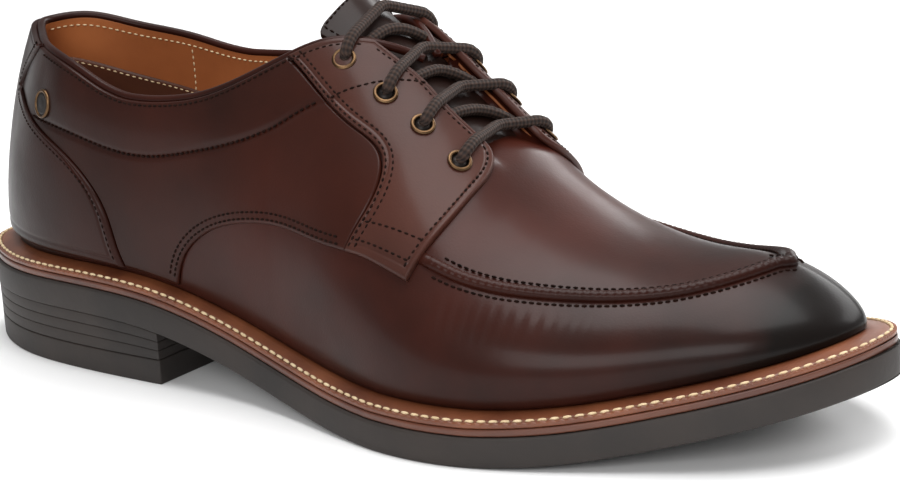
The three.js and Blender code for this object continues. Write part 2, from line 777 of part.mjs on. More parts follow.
function apronSeam() {
  const line = seam(APRON_SEAM, true);
  const sides = [LATERAL, MEDIAL];
  const half = sides.map((side) => steps(SEAM_COLUMNS, 0, 1).map((share) => {
    const ahead = Math.min(share + SMALL_SHARE, 1);
    const here = line(ahead - SMALL_SHARE);
    return SEAM_BACK.across.map((across, i) => {
      const place = beside(side, here, line(ahead), across * SEAM_WIDTH);
      const turn = share === 1 ? 1 : place.turn;
      const height = PANEL_LIFT + SEAM_BACK.height[i] * SEAM_HEIGHT;
      return raised(share === 1 ? LATERAL : side, turn, place.rise, height);
    });
  }));
  const sections = [...half[0], ...half[1].reverse().slice(1)];
  const body = new Body();
  const around = (points) => [...points, points[0]];
  for (let i = 0; i < sections.length - 1; i++) body.strip(around(sections[i]), around(sections[i + 1]));
  for (const end of [sections[0], [...sections.at(-1)].reverse()]) {
    for (let i = 1; i < end.length - 1; i++) body.triangle(end[0], end[i + 1], end[i]);
  }
  return body.geometry();
}

// The ridge over the instep, which goes on up beyond the collar at the same slope.
function ridgePoint(turn, height) {
  const slope = ridgeSlope(turn);
  const start = topPoint(LATERAL, Math.max(turn, RIDGE_START));
  const back = Math.min(LENGTH * topX(turn) - start.x, 0);
  const up = new THREE.Vector3(-slope, 0, 1).normalize();
  return start.add(new THREE.Vector3(back, 0, back * slope)).addScaledVector(up, height);
}

// Curve across the instep, lateral to medial, at a height above the upper's outer surface. It
// starts and ends at the rise `edge` and leaves the surface only where the throat is open.
const INSTEP_OPEN = 0.96;       // as a share of the collar's rise

function acrossInstep(turn, edge, height, openHeight = height, ridgeHeight = height) {
  const open = INSTEP_OPEN * collarRise(turn);
  const half = (side) => [
    raised(side, turn, edge, height),
    raised(side, turn, (edge + open) / 2, (height + openHeight) / 2),
    raised(side, turn, open, openHeight),
  ];
  const middle = ridgePoint(turn, ridgeHeight);
  return new THREE.CatmullRomCurve3([...half(LATERAL), middle, ...half(MEDIAL).reverse()]);
}

// Tongue, under the throat, and standing out above it
const TONGUE_SECTIONS = table('turn edge', [
  [0.608, 0.80],
  [0.592, 0.74],
  [0.575, 0.70],
  [0.558, 0.69],
  [0.542, 0.70],
  [0.528, 0.78],
  [0.520, 0.86],
]);
// Beyond the last section: shares of TONGUE_STICK_OUT, and how much of its width is left out. The
// sides lean back and spread there, by these lengths at THROAT_HALF_WIDTH from the middle.
const TONGUE_TOP = table('out trim', [
  [0.30, 0.10],
  [0.62, 0.09],
  [0.84, 0.10],
  [0.96, 0.10],
  [1.00, 0.17],
]);
const TONGUE_COLUMNS = 10;
const TONGUE_UP = new THREE.Vector3(-0.76, 0, 0.65);
const WING_BACK = 4;
const WING_SPREAD = 1.6;

const tongueDepth = UPPER_WALL + TONGUE_SLACK;

function tongue() {
  const sheet = (depth) => {
    const curves = TONGUE_SECTIONS.turn.map((turn, i) => acrossInstep(turn, TONGUE_SECTIONS.edge[i], -depth));
    const beyond = TONGUE_TOP.out.map((out, i) => {
      const trim = TONGUE_TOP.trim[i];
      return steps(TONGUE_COLUMNS, trim, 1 - trim).map((share) => {
        const point = curves.at(-1).getPoint(share);
        const aside = (point.y - topPoint(LATERAL, RIDGE_START).y) / THROAT_HALF_WIDTH;
        const wing = new THREE.Vector3(-WING_BACK * aside ** 2, WING_SPREAD * aside, 0);
        return point.addScaledVector(TONGUE_UP, out * TONGUE_STICK_OUT).addScaledVector(wing, out);
      });
    });
    return [...curves.map((curve) => curve.getPoints(TONGUE_COLUMNS)), ...beyond];
  };
  return panel(sheet(tongueDepth), sheet(tongueDepth + TONGUE_THICKNESS));
}

// Eyelets, stud and laces
const EYELETS = table('turn rise', [
  [0.513, 0.853],
  [0.540, 0.772],
  [0.564, 0.740],
  [0.587, 0.730],
]);
const ROUND_SEGMENTS = 12;
const STUD_PLACE = { turn: 0.235, rise: 0.735 };

const lathe = (profile, segments) => welded(new THREE.LatheGeometry(
  profile.map(([radius, height]) => new THREE.Vector2(radius, height)), segments));

// Turns a round piece, made along +Y, to stand on the upper at a place and height.
function standOn(geometry, side, { turn, rise }, height) {
  const upright = new THREE.Vector3(0, 1, 0);
  const tilt = new THREE.Quaternion().setFromUnitVectors(upright, skinNormal(side, turn, rise));
  const place = raised(side, turn, rise, height);
  return geometry.applyQuaternion(tilt).translate(place.x, place.y, place.z);
}

const facingTop = PANEL_LIFT + FACING_THICKNESS;

const eyelet = () => outwardFacing(lathe([
  [EYELET_BORE, -EYELET_DEPTH],
  [EYELET_BARREL, -EYELET_DEPTH],
  [EYELET_BARREL, SEAM_GAP],
  [EYELET_OUTER, SEAM_GAP],
  [EYELET_OUTER, SEAM_GAP + EYELET_FLANGE / 2],
  [EYELET_BARREL, SEAM_GAP + EYELET_FLANGE],
  [EYELET_BORE, SEAM_GAP + EYELET_FLANGE / 2],
  [EYELET_BORE, -EYELET_DEPTH],
], ROUND_SEGMENTS));

const eyeletHole = () => outwardFacing(lathe([
  [0, -FACING_THICKNESS - PANEL_LIFT / 2],
  [EYELET_BARREL + SEAM_GAP, -FACING_THICKNESS - PANEL_LIFT / 2],
  [EYELET_BARREL + SEAM_GAP, FACING_THICKNESS],
  [0, FACING_THICKNESS],
], ROUND_SEGMENTS));

const stud = () => outwardFacing(lathe([
  [0, 0],
  [STUD_RADIUS, 0],
  [STUD_RADIUS, STUD_HEIGHT * 0.5],
  [STUD_RADIUS * 0.82, STUD_HEIGHT],
  [STUD_RADIUS * 0.66, STUD_HEIGHT * 0.6],
  [0, STUD_HEIGHT * 0.75],
], ROUND_SEGMENTS));

function eyeletPlaces() {
  return EYELETS.turn.map((turn, i) => ({ turn, rise: EYELETS.rise[i] }));
}

function facingWithHoles(side) {
  const holes = eyeletPlaces().map((place) => standOn(eyeletHole(), side, place, facingTop));
  return cut(facing(side), ...holes);
}

const LACE_STEPS = 10;

function cord(path) {
  const section = new THREE.Shape().absarc(0, 0, LACE_RADIUS, 0, 2 * Math.PI);
  const options = { extrudePath: path, steps: LACE_STEPS, curveSegments: 4, bevelEnabled: false };
  return outwardFacing(welded(new THREE.ExtrudeGeometry(section, options)));
}

// A bar goes straight across over the facings, from above one eyelet to above the other.
const BAR_CLEARANCE = 1.2;
const overEyelet = facingTop + EYELET_FLANGE + BAR_CLEARANCE + LACE_RADIUS;
const overFacing = facingTop + BAR_CLEARANCE + LACE_RADIUS;
const BAR_OVER_RIDGE = 1.4;     // middle of a bar above the ridge

function laceBar({ turn, rise }) {
  const over = acrossInstep(turn, rise, overEyelet, overFacing, BAR_OVER_RIDGE);
  const { x } = over.points[0];
  const straight = over.points.map((p) => new THREE.Vector3(x, p.y, p.z + ridgeSlope(turn) * (x - p.x)));
  return cord(new THREE.CatmullRomCurve3(straight));
}

// Between two bars the lace crosses low over the tongue, down to the next row.
const LOW_SHARE = 0.27;         // of the way between the eyelets, left out at each end

function laceUnder(from, to) {
  const low = LACE_RADIUS + 2 * SEAM_GAP - tongueDepth;
  const across = between(from, to);
  const points = steps(4, LOW_SHARE, 1 - LOW_SHARE).map((share) => {
    const { turn, rise } = across(share);
    return acrossInstep(turn, rise, low).getPointAt(share);
  });
  return cord(new THREE.CatmullRomCurve3(points));
}

// Colours, roughness and metalness from the photograph
const finish = (color, roughness, metalness = 0) =>
  new THREE.MeshStandardMaterial({ color, roughness, metalness });
const vampLeather = finish('#3a1c18', 0.28);
const quarterLeather = finish('#35191a', 0.3);
const facingLeather = finish('#3b2322', 0.3);
const darkLeather = finish('#241213', 0.32);
const weltLeather = finish('#6b3a24', 0.55);
const rubber = finish('#2f2a28', 0.7);
const lining = finish('#a8663c', 0.6);
const brass = finish('#6e5a3c', 0.4, 0.8);
const laceFabric = finish('#35261f', 0.85);

const shoe = new THREE.Group();

function add(name, geometry, material) {
  const mesh = new THREE.Mesh(geometry, material);
  mesh.name = name;
  shoe.add(mesh);
}

add('outsole', outsole(), rubber);
add('heel_block', heelBlock(), rubber);
add('heel_top_piece', heelTopPiece(), rubber);
add('midsole', midsole(), weltLeather);
add('welt', welt(), weltLeather);
add('insole', insole(), lining);
add('upper', upper(), vampLeather);
add('tongue', tongue(), darkLeather);
add('counter', counter(), darkLeather);
add('apron_seam', apronSeam(), quarterLeather);
const sides = { lateral: LATERAL, medial: MEDIAL };
for (const [name, side] of Object.entries(sides)) {
  add(`quarter_${name}`, quarter(side), quarterLeather);
  add(`facing_${name}`, facingWithHoles(side), facingLeather);
  eyeletPlaces().forEach((place, i) => {
    add(`eyelet_${name}_${i + 1}`, standOn(eyelet(), side, place, facingTop), brass);
  });
}
const studHeight = PANEL_LIFT + QUARTER_THICKNESS + SEAM_GAP;
add('heel_stud', standOn(stud(), LATERAL, STUD_PLACE, studHeight), brass);
const rows = eyeletPlaces();
rows.forEach((place, i) => add(`lace_bar_${i + 1}`, laceBar(place), laceFabric));
rows.slice(1).forEach((place, i) => add(`lace_under_${i + 1}`, laceUnder(rows[i], place), laceFabric));

// The origin is the middle of the floor rectangle that the shoe covers.
const bounds = new THREE.Box3().setFromObject(shoe);
const middle = bounds.getCenter(new THREE.Vector3());
shoe.position.set(-middle.x, -middle.y, 0);
shoe.updateMatrixWorld(true);

export default shoe;
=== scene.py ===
# %% [markdown]
# # An apron-toe derby shoe in burnished leather
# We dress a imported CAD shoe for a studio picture. The frame gives the sizes, and every piece of
# leather is laid on one surface that we work out from a few rows of numbers, just as a shoemaker
# cuts every panel to fit one last.

import math
from itertools import pairwise

import bmesh
import bpy
import numpy as np
from mathutils import Matrix, Vector


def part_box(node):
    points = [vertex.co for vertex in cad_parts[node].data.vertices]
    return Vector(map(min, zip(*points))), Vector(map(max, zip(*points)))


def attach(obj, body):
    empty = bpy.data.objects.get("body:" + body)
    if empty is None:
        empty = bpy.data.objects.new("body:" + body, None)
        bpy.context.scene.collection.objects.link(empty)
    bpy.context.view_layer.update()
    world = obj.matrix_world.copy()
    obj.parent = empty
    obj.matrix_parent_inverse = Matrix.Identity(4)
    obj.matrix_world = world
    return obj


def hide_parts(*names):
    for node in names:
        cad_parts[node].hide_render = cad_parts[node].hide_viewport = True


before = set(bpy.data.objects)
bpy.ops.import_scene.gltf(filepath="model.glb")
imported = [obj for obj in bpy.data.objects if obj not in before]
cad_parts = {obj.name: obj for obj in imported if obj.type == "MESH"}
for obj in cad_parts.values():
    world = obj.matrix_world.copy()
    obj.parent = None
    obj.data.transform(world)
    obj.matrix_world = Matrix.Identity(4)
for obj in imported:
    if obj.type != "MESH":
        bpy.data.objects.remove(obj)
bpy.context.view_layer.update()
MM = 0.001

# %% [markdown]
# ## The last
# A last is the solid foot shape that the leather is pulled over. Ours is a fan of ribs: each
# starts on the feather line, where upper meets welt, and climbs to the collar or to the ridge
# over the instep. A rib is a cubic curve, and its numbers are shares of the shoe's main sizes,
# so that the whole surface stays smooth and can be read at any point.

# %% Sizes and curves
LENGTH = 304.0
BALL_WIDTH = 108.0
INSTEP_RISE = 85.0
HEEL_HEIGHT = 17.6
TOE_SPRING = 17.5
OUTSOLE = 8.2
FEATHER = 13.6
LATERAL, MEDIAL = -1, 1


def spline(at, values, level_start=False, level_end=False):
    at, values = np.array(at, float), np.array(values, float)
    gaps, count = np.diff(at), len(at)
    slopes = np.diff(values) / gaps
    system, target = np.eye(count), np.zeros(count)
    for i in range(1, count - 1):
        system[i, i - 1:i + 2] = gaps[i - 1], 2 * (gaps[i - 1] + gaps[i]), gaps[i]
        target[i] = 6 * (slopes[i] - slopes[i - 1])
    if level_start:
        system[0, :2] = 2 * gaps[0], gaps[0]
        target[0] = 6 * slopes[0]
    if level_end:
        system[-1, -2:] = gaps[-1], 2 * gaps[-1]
        target[-1] = -6 * slopes[-1]
    bend = np.linalg.solve(system, target)

    def read(where):
        x = np.clip(where, at[0], at[-1])
        i = np.clip(np.searchsorted(at, x) - 1, 0, count - 2)
        a, b = (at[i + 1] - x) / gaps[i], (x - at[i]) / gaps[i]
        curve = (a**3 - a) * bend[i] + (b**3 - b) * bend[i + 1]
        return a * values[i] + b * values[i + 1] + curve * gaps[i]**2 / 6

    return read


def smooth(value, low, high):
    share = np.clip((value - low) / (high - low), 0, 1)
    return share * share * (3 - 2 * share)


# %% The sole's side and outline
HEEL_AT = [0, .12, .24, .30, .36, .44, .53, .60, 1]
heel_share = spline(HEEL_AT, [1, 1, .99, .90, .69, .35, .08, 0, 0])
spring_share = spline([0, .60, .70, .78, .86, .93, 1], [0, 0, 0, .11, .38, .67, 1])
OUTLINE_AT = np.array([0, .035, .11, .2, .3, .4, .5, .6, .68, .76, .84, .9, .95, .985, 1])
OUTLINE_TURN = np.arccos(1 - 2 * OUTLINE_AT) / np.pi
half_width = {
    LATERAL: spline(OUTLINE_TURN, [
        0, .162, .278, .326, .347, .367, .435, .524, .543, .489, .40, .326, .237, .122, -.028]),
    MEDIAL: spline(OUTLINE_TURN, [
        0, .162, .273, .301, .287, .259, .287, .389, .454, .449, .384, .315, .236, .134, .028]),
}
feather_inset = spline([0, .1, .25, .5, .8, .93, 1], [8.3, 8.2, 6.8, 6.2, 7.2, 8.6, 8.8], True, True)


def sole_bottom(x):
    at = np.clip(x / LENGTH, 0, 1)
    heel = np.where(at < .60, np.maximum(heel_share(at), 0), 0)
    spring = np.where(at > .70, np.maximum(spring_share(at), 0), 0)
    return HEEL_HEIGHT * heel + TOE_SPRING * spring


def edge_point(side, turn):
    beyond = (turn < 0) | (turn > 1)
    inner = np.where(turn > 1, 2 - turn, np.abs(turn))
    facing = np.where(beyond, -side, side)
    width = np.where(facing < 0, half_width[LATERAL](inner), half_width[MEDIAL](inner))
    return np.stack([LENGTH * (1 - np.cos(np.pi * inner)) / 2, facing * BALL_WIDTH * width], -1)


def outward(side, turn, step=1e-4):
    along = edge_point(side, turn + step) - edge_point(side, turn - step)
    along /= np.linalg.norm(along, axis=-1, keepdims=True)
    return np.stack([along[..., 1], -along[..., 0]], -1) * -np.asarray(side)[..., None]


def inset_point(side, turn, inset):
    return edge_point(side, turn) - outward(side, turn) * np.asarray(inset)[..., None]


# %% The ribs
# Columns: turn, x, lateral y, medial y, lateral rise, medial rise, lean, top reach, foot reach, bulge
TOP_LINE = np.array([
    (.00, .081, .014, .014, .780, .780, 60, .30, .36, .02),
    (.10, .107, -.083, .122, .758, .780, 66, .30, .36, .02),
    (.20, .152, -.188, .193, .739, .735, 75, .30, .34, .05),
    (.30, .219, -.253, .245, .673, .678, 82, .30, .30, .08),
    (.38, .306, -.268, .266, .630, .662, 84, .30, .29, .08),
    (.42, .362, -.252, .250, .745, .770, 76, .32, .29, .08),
    (.46, .425, -.200, .200, .900, .915, 62, .32, .30, .08),
    (.50, .485, -.105, .135, 1.015, 1.020, 42, .31, .32, .08),
    (.53, .530, -.030, .085, .975, .975, 20, .31, .33, .09),
    (.56, .577, .034, .034, .855, .855, 0, .32, .34, .10),
    (.61, .658, .042, .042, .608, .608, 0, .34, .34, .12),
    (.66, .730, .044, .044, .436, .436, 0, .40, .34, .13),
    (.71, .793, .044, .044, .348, .348, 0, .44, .33, .13),
    (.77, .842, .043, .043, .307, .307, 0, .45, .31, .13),
    (.84, .875, .041, .041, .282, .282, 0, .38, .26, .12),
    (.92, .890, .039, .039, .266, .266, 0, .33, .22, .10),
    (1.0, .895, .037, .037, .260, .260, 0, .31, .20, .10),
])
RIDGE_START = .56
TURNS = TOP_LINE[:, 0]
ridge = TURNS >= RIDGE_START
back = TURNS <= RIDGE_START
top_x, rise_l, rise_m, lean, top_reach, foot_reach, bulge = (
    spline(TURNS, TOP_LINE[:, i], True, True) for i in (1, 4, 5, 6, 7, 8, 9))
ridge_y = spline(TURNS[ridge], TOP_LINE[ridge, 2], True, True)
collar_y = {side: spline(TURNS[back], TOP_LINE[back, column], False, True)
            for side, column in ((LATERAL, 2), (MEDIAL, 3))}
COLLAR_AT = [0, .34, .38, .42, .46, .50, .53, .56]
collar_spline = spline(COLLAR_AT, [1, 1, .99, .925, .918, .938, .97, 1], True, True)


def collar_rise(turn):
    return np.minimum(collar_spline(turn), 1)


def top_point(side, turn):
    lateral = np.asarray(side) < 0
    collar = np.where(lateral, collar_y[LATERAL](turn), collar_y[MEDIAL](turn))
    y = np.where(turn < RIDGE_START, collar, ridge_y(turn))
    rise = np.where(lateral | (turn >= RIDGE_START), rise_l(turn), rise_m(turn))
    x = LENGTH * top_x(turn)
    return np.stack([x, BALL_WIDTH * y, sole_bottom(x) + FEATHER + INSTEP_RISE * rise], -1)


ridge_points = top_point(LATERAL, TURNS[ridge])
ridge_height = spline(ridge_points[:, 0], ridge_points[:, 2])


def ridge_slope(turn):
    x = np.clip(LENGTH * top_x(turn), ridge_points[0, 0] + .3, ridge_points[-1, 0])
    return (ridge_height(x) - ridge_height(x - .3)) / .3


def unit(vectors):
    return vectors / np.maximum(np.linalg.norm(vectors, axis=-1, keepdims=True), 1e-9)


def skin(side, turn, rise):
    """Point on the last, in millimetres. Past the heel, toe or ridge it goes on over the other side."""
    side, turn, rise = (np.array(part, float) for part in np.broadcast_arrays(side, turn, rise))
    side = np.where((turn < 0) | (turn > 1), -side, side)
    turn = np.where(turn > 1, 2 - turn, np.abs(turn))
    side = np.where(rise > 1, -side, side)
    rise = np.where(rise > 1, 2 - rise, rise)
    out = outward(side, turn)
    foot = inset_point(side, turn, feather_inset(turn))
    start = np.concatenate([foot, (sole_bottom(foot[..., 0]) + FEATHER)[..., None]], -1)
    end = top_point(side, turn)
    chord = np.linalg.norm(end - start, axis=-1, keepdims=True)
    plan = (end - start)[..., :2]
    slanted = np.clip((np.linalg.norm(plan, axis=-1, keepdims=True) - 6) / 14, 0, 1)
    inward = unit(unit(plan) * slanted + out * (slanted - 1))
    slope = smooth(turn, .53, .60) * np.arctan(ridge_slope(turn) * inward[..., 0])
    angle = (np.radians(lean(turn)) + slope)[..., None]
    arrive = np.concatenate([inward * np.cos(angle), np.sin(angle)], -1)
    leave = np.concatenate([out * bulge(turn)[..., None], foot_reach(turn)[..., None]], -1)
    low = start + leave * chord
    high = end - arrive * chord * top_reach(turn)[..., None]
    v = rise[..., None]
    return (1 - v)**3 * start + 3 * (1 - v)**2 * v * low + 3 * (1 - v) * v * v * high + v**3 * end


STEP = 2e-3


def directions(side, turn, rise):
    above = np.where(np.asarray(turn) >= RIDGE_START, rise + STEP, np.minimum(rise + STEP, 1))
    below = np.maximum(rise - STEP, 0)
    along = (skin(side, turn + STEP, rise) - skin(side, turn - STEP, rise)) / (2 * STEP)
    up = (skin(side, turn, above) - skin(side, turn, below)) / (above - below)[..., None]
    return along, up


def skin_normal(side, turn, rise):
    along, up = directions(side, turn, rise)
    return unit(np.cross(along, up) * -np.asarray(side, float)[..., None])


outsole_low, outsole_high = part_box("outsole")
outline = edge_point(LATERAL, np.linspace(0, 1, 200))
SHIFT = np.array([*(outsole_low[i] / MM - outline[:, i].min() for i in (0, 1)), 0])


def to_frame(points):
    return (points + SHIFT) * MM


def raised(side, turn, rise, height):
    parts = np.broadcast_arrays(side, turn, rise, height)
    side, turn, rise, height = (np.array(part, float) for part in parts)
    return skin(side, turn, rise) + skin_normal(side, turn, rise) * height[..., None]


print("shift from the heel's back to the frame, mm", SHIFT.round(2))

# %% [markdown]
# ## Sheets
# Leather is a sheet, so nearly every piece begins as a flat grid whose corners run from 0 to 1
# both ways. A function says where each point of the grid belongs on the shoe. That keeps the
# mesh even, gives it a UV map for free, and lets Solidify add the leather's thickness.

# %% Make a piece from a grid
pieces = []


def finish_piece(mesh, name, material, slot, replaces=()):
    data = bpy.data.meshes.new(name)
    mesh.to_mesh(data)
    mesh.free()
    data.shade_smooth()
    piece = bpy.data.objects.new(name, data)
    bpy.context.collection.objects.link(piece)
    data.materials.append(material)
    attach(piece, "root")
    if replaces:
        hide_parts(*replaces)
    pieces.append(piece)
    print(name, len(data.polygons), "faces")
    return piece


def face_away(mesh, from_inside=True):
    """Turns the faces of a sheet away from the foot, or towards it."""
    mesh.normal_update()
    middle = Vector(to_frame(np.array([0, 3.7, 50.0])))
    total = 0
    for face in mesh.faces:
        centre = face.calc_center_median()
        total += face.normal.dot(centre - Vector((centre.x, middle.y, middle.z))) * face.calc_area()
    if (total > 0) != from_inside:
        bmesh.ops.reverse_faces(mesh, faces=mesh.faces)


def grid(columns, rows, place, spread=(1, 1)):
    mesh = bmesh.new()
    layer = mesh.loops.layers.uv.new("UVMap")
    bmesh.ops.create_grid(mesh, x_segments=columns, y_segments=rows, size=0.5)
    flat = np.array([vertex.co[:2] for vertex in mesh.verts]) + 0.5
    for face in mesh.faces:
        for loop in face.loops:
            loop[layer].uv = ((loop.vert.co.x + .5) * spread[0], (loop.vert.co.y + .5) * spread[1])
    for vertex, point in zip(mesh.verts, place(flat[:, 0], flat[:, 1])):
        vertex.co = point
    return mesh


def solidify(piece, thickness, offset=-1):
    wall = piece.modifiers.new("wall", 'SOLIDIFY')
    wall.thickness = thickness * MM
    wall.offset = offset


# %% [markdown]
# ## Finishes
# Burnished leather is brown leather polished with darker wax, so its colour drifts from red-brown
# to almost black, mostly at the toe and the heel. The shader mixes two browns by soft noise and
# by how far along the shoe a point lies. A fine grain goes into the bump, and a clear coat gives
# the polish its wide soft highlights.

# %% Node helpers
def linear(red, green, blue):
    channel = [c / 255 / 12.92 if c <= 10 else ((c / 255 + .055) / 1.055)**2.4
               for c in (red, green, blue)]
    return (*channel, 1)


class Finish:
    def __init__(self, name, roughness, coat=0.0, coat_roughness=.2, metallic=0.0, specular=.5):
        self.material = bpy.data.materials.new(name)
        self.material.use_nodes = True
        self.tree = self.material.node_tree
        self.shader = self.tree.nodes["Principled BSDF"]
        for socket, value in (("Roughness", roughness), ("Coat Weight", coat), ("Metallic", metallic),
                              ("Coat Roughness", coat_roughness), ("Specular IOR Level", specular)):
            self.shader.inputs[socket].default_value = value
        self.place = self.node('ShaderNodeTexCoord').outputs["Object"]
        self.height = None

    def node(self, kind, **values):
        node = self.tree.nodes.new(kind)
        for key, value in values.items():
            setattr(node, key, value)
        return node

    def link(self, start, end):
        self.tree.links.new(start, end)

    def noise(self, scale, detail=3.0, source=None, stretch=(1, 1, 1)):
        mapping = self.node('ShaderNodeMapping')
        mapping.inputs["Scale"].default_value = stretch
        self.link(source or self.place, mapping.inputs["Vector"])
        noise = self.node('ShaderNodeTexNoise')
        noise.inputs["Scale"].default_value = scale
        noise.inputs["Detail"].default_value = detail
        self.link(mapping.outputs["Vector"], noise.inputs["Vector"])
        return noise.outputs["Fac"]

    def ramp(self, source, *stops):
        ramp = self.node('ShaderNodeValToRGB')
        elements = ramp.color_ramp.elements
        while len(elements) < len(stops):
            elements.new(.5)
        for element, (position, colour) in zip(elements, stops):
            element.position = position
            element.color = colour
        self.link(source, ramp.inputs["Fac"])
        return ramp.outputs["Color"]

    def math(self, operation, first, second):
        node = self.node('ShaderNodeMath', operation=operation)
        for socket, value in zip(node.inputs, (first, second)):
            if isinstance(value, (int, float)):
                socket.default_value = value
            else:
                self.link(value, socket)
        return node.outputs["Value"]

    def bump(self, source, distance, strength=1.0):
        bump = self.node('ShaderNodeBump')
        bump.inputs["Strength"].default_value = strength
        bump.inputs["Distance"].default_value = distance * MM
        self.link(source, bump.inputs["Height"])
        if self.height:
            self.link(self.height, bump.inputs["Normal"])
        self.height = bump.outputs["Normal"]
        self.link(self.height, self.shader.inputs["Normal"])

    def colour(self, source):
        self.link(source, self.shader.inputs["Base Color"])


def grey(value):
    return (value, value, value, 1)


# %% Burnished leather
WAX_ALONG = [(.02, .95), (.2, .45), (.45, .35), (.72, .30), (.86, .55), (.97, 1)]


def burnished(name, dark, light, tone=.5, roughness=.4, coat=.15):
    finish = Finish(name, roughness, coat, .2, specular=.1)
    along = finish.node('ShaderNodeSeparateXYZ')
    finish.link(finish.place, along.inputs["Vector"])
    share = finish.math('MULTIPLY_ADD', along.outputs["X"], 1 / (LENGTH * MM))
    share.node.inputs[2].default_value = .5
    wax = finish.ramp(share, *((at, grey(value)) for at, value in WAX_ALONG))
    clouds = finish.ramp(finish.noise(22, 4), (.3, grey(0)), (.72, grey(1)))
    patches = finish.math('MULTIPLY', clouds, .55)
    mix = finish.math('MULTIPLY', finish.math('ADD', wax, patches), tone)
    finish.colour(finish.ramp(mix, (0, light), (1, dark)))
    gloss = finish.noise(60, 5)
    uneven = finish.ramp(gloss, (.25, grey(roughness - .07)), (.8, grey(roughness + .08)))
    finish.link(uneven, finish.shader.inputs["Roughness"])
    grain = finish.node('ShaderNodeTexVoronoi')
    grain.inputs["Scale"].default_value = 1500
    finish.link(finish.place, grain.inputs["Vector"])
    finish.bump(grain.outputs["Distance"], .05, .35)
    finish.bump(finish.noise(260, 4), .12, .3)
    finish.bump(finish.noise(38, 2), .9, .12)
    return finish.material


vamp_leather = burnished("burnished_vamp", linear(12, 6, 4), linear(74, 31, 21), .86, coat=.17)
quarter_leather = burnished("burnished_quarter", linear(14, 7, 5), linear(68, 29, 19), .86)
facing_leather = burnished("burnished_facing", linear(22, 12, 10), linear(86, 48, 38), .8, .46, .2)
counter_leather = burnished("burnished_counter", linear(24, 9, 6), linear(64, 26, 16), .85, coat=.1)
tongue_leather = burnished("burnished_tongue", linear(18, 12, 12), linear(46, 28, 22), .8, .42)


# %% The plainer finishes
def plain(name, base, other, roughness, scale=40.0, relief=.1, coat=0.0, metallic=0.0, specular=.5):
    finish = Finish(name, roughness, coat, .3, metallic, specular)
    finish.colour(finish.ramp(finish.noise(scale, 4), (.3, base), (.75, other)))
    finish.bump(finish.noise(scale * 12, 3), relief, .5)
    return finish.material


lining_leather = plain("tan_lining", linear(150, 84, 44), linear(186, 112, 62), .5, 30, .12)
sock_leather = plain("insole_leather", linear(70, 38, 26), linear(104, 60, 38), .5, 30, .1)
edge_leather = plain("edge_dressing", linear(70, 34, 22), linear(104, 56, 34), .42, 60, .12, .2)
welt_leather = plain("welt_leather", linear(92, 46, 26), linear(132, 76, 46), .46, 70, .1, .2)
sole_rubber = plain("sole_rubber", linear(30, 24, 21), linear(46, 37, 32), .62, 45, .12)
antique_brass = plain("antique_brass", linear(62, 45, 31), linear(118, 92, 66), .36, 220, .02, 0, 1)
# This dark finish serves the stud's face and also the painted shade in the eyelet holes.
blackened_brass_and_hole_shade = plain("blackened_brass_and_hole_shade", linear(20, 16, 15), linear(38, 30, 26), .38, 200, .03, 0, .7)
brown_thread = plain("brown_thread", linear(18, 9, 6), linear(36, 19, 13), .8, 300, .1, specular=.08)
cream_thread = plain("cream_thread", linear(206, 180, 140), linear(232, 210, 172), .8, 300, .1)
print("finishes", len(bpy.data.materials))

# %% [markdown]
# ## The upper
# The vamp, the part over the toes and instep, is one skin that runs on under every other panel,
# and its tongue end dips below the laces. We close one grid around the shoe from the heel over
# both sides, fold down the strip under the lacing, and cut the strip open where the foot goes in.
# Soft relief such as the padded collar and the gathers below the apron seam is added to the
# height of the skin, in millimetres.

# %% Seams shared by the panels
def curve(*stations, levels=(False, False)):
    """A seam through (turn, rise) stations, read by the share of its length."""
    points = np.array(stations, float)
    places = skin(LATERAL, points[:, 0], points[:, 1])
    reach = np.concatenate([[0], np.cumsum(np.linalg.norm(np.diff(places, axis=0), axis=1))])
    turn = spline(reach / reach[-1], points[:, 0])
    rise = spline(reach / reach[-1], points[:, 1], *levels)
    return lambda share: (turn(share), rise(share))


counter_seam = curve((.190, .985), (.145, .878), (.105, .765), (.098, .712), (.140, .682), (.190, .658),
                     (.250, .600), (.305, .500), (.330, .338), (.337, .150), (.341, .035))
rear_seam = curve((.478, .909), (.503, .757), (.534, .652), (.550, .605), (.554, .550), (.552, .475),
                  (.543, .375), (.541, .352))
facing_front = curve((.522, .947), (.537, .907), (.551, .876), (.564, .858), (.586, .856), (.596, .848),
                     (.601, .790), (.601, .710), (.597, .565), (.591, .448), (.586, .352))
wing_seam = curve((.389, .035), (.393, .120), (.401, .228), (.418, .338), (.448, .406), (.482, .394),
                  (.510, .364), (.541, .352))
apron_line = curve((.600, .438), (.612, .444), (.645, .480), (.680, .527), (.725, .578), (.755, .613),
                   (.789, .672), (.823, .742), (.870, .825), (.930, .868), (1, .880), levels=(False, True))
collar_stitch = spline([.24, .324, .387, .438, .478, .504], [.655, .670, .690, .688, .695, .728])


def beside(side, seam, share, distance):
    """Steps a distance in millimetres across a seam, towards the toe or up where positive."""
    ahead = np.minimum(share + 1e-3, 1)
    turn, rise = seam(ahead - 1e-3)
    next_turn, next_rise = seam(ahead)
    along, up = directions(side, turn, rise)
    tangent = along * (next_turn - turn)[..., None] + up * (next_rise - rise)[..., None]
    across = unit(np.cross(unit(np.cross(along, up)), tangent)) * np.asarray(distance)[..., None]
    aa, bb, ab = (along * along).sum(-1), (up * up).sum(-1), (along * up).sum(-1)
    a, b = (across * along).sum(-1), (across * up).sum(-1)
    scale = aa * bb - ab * ab
    return turn + (a * bb - b * ab) / scale, rise + (b * aa - a * ab) / scale


# %% Soft relief in the leather
COLLAR_PUFF = .9
TONGUE_DROP = 5.2
THROAT_HALF = 14.2
THROAT_END = 200.0


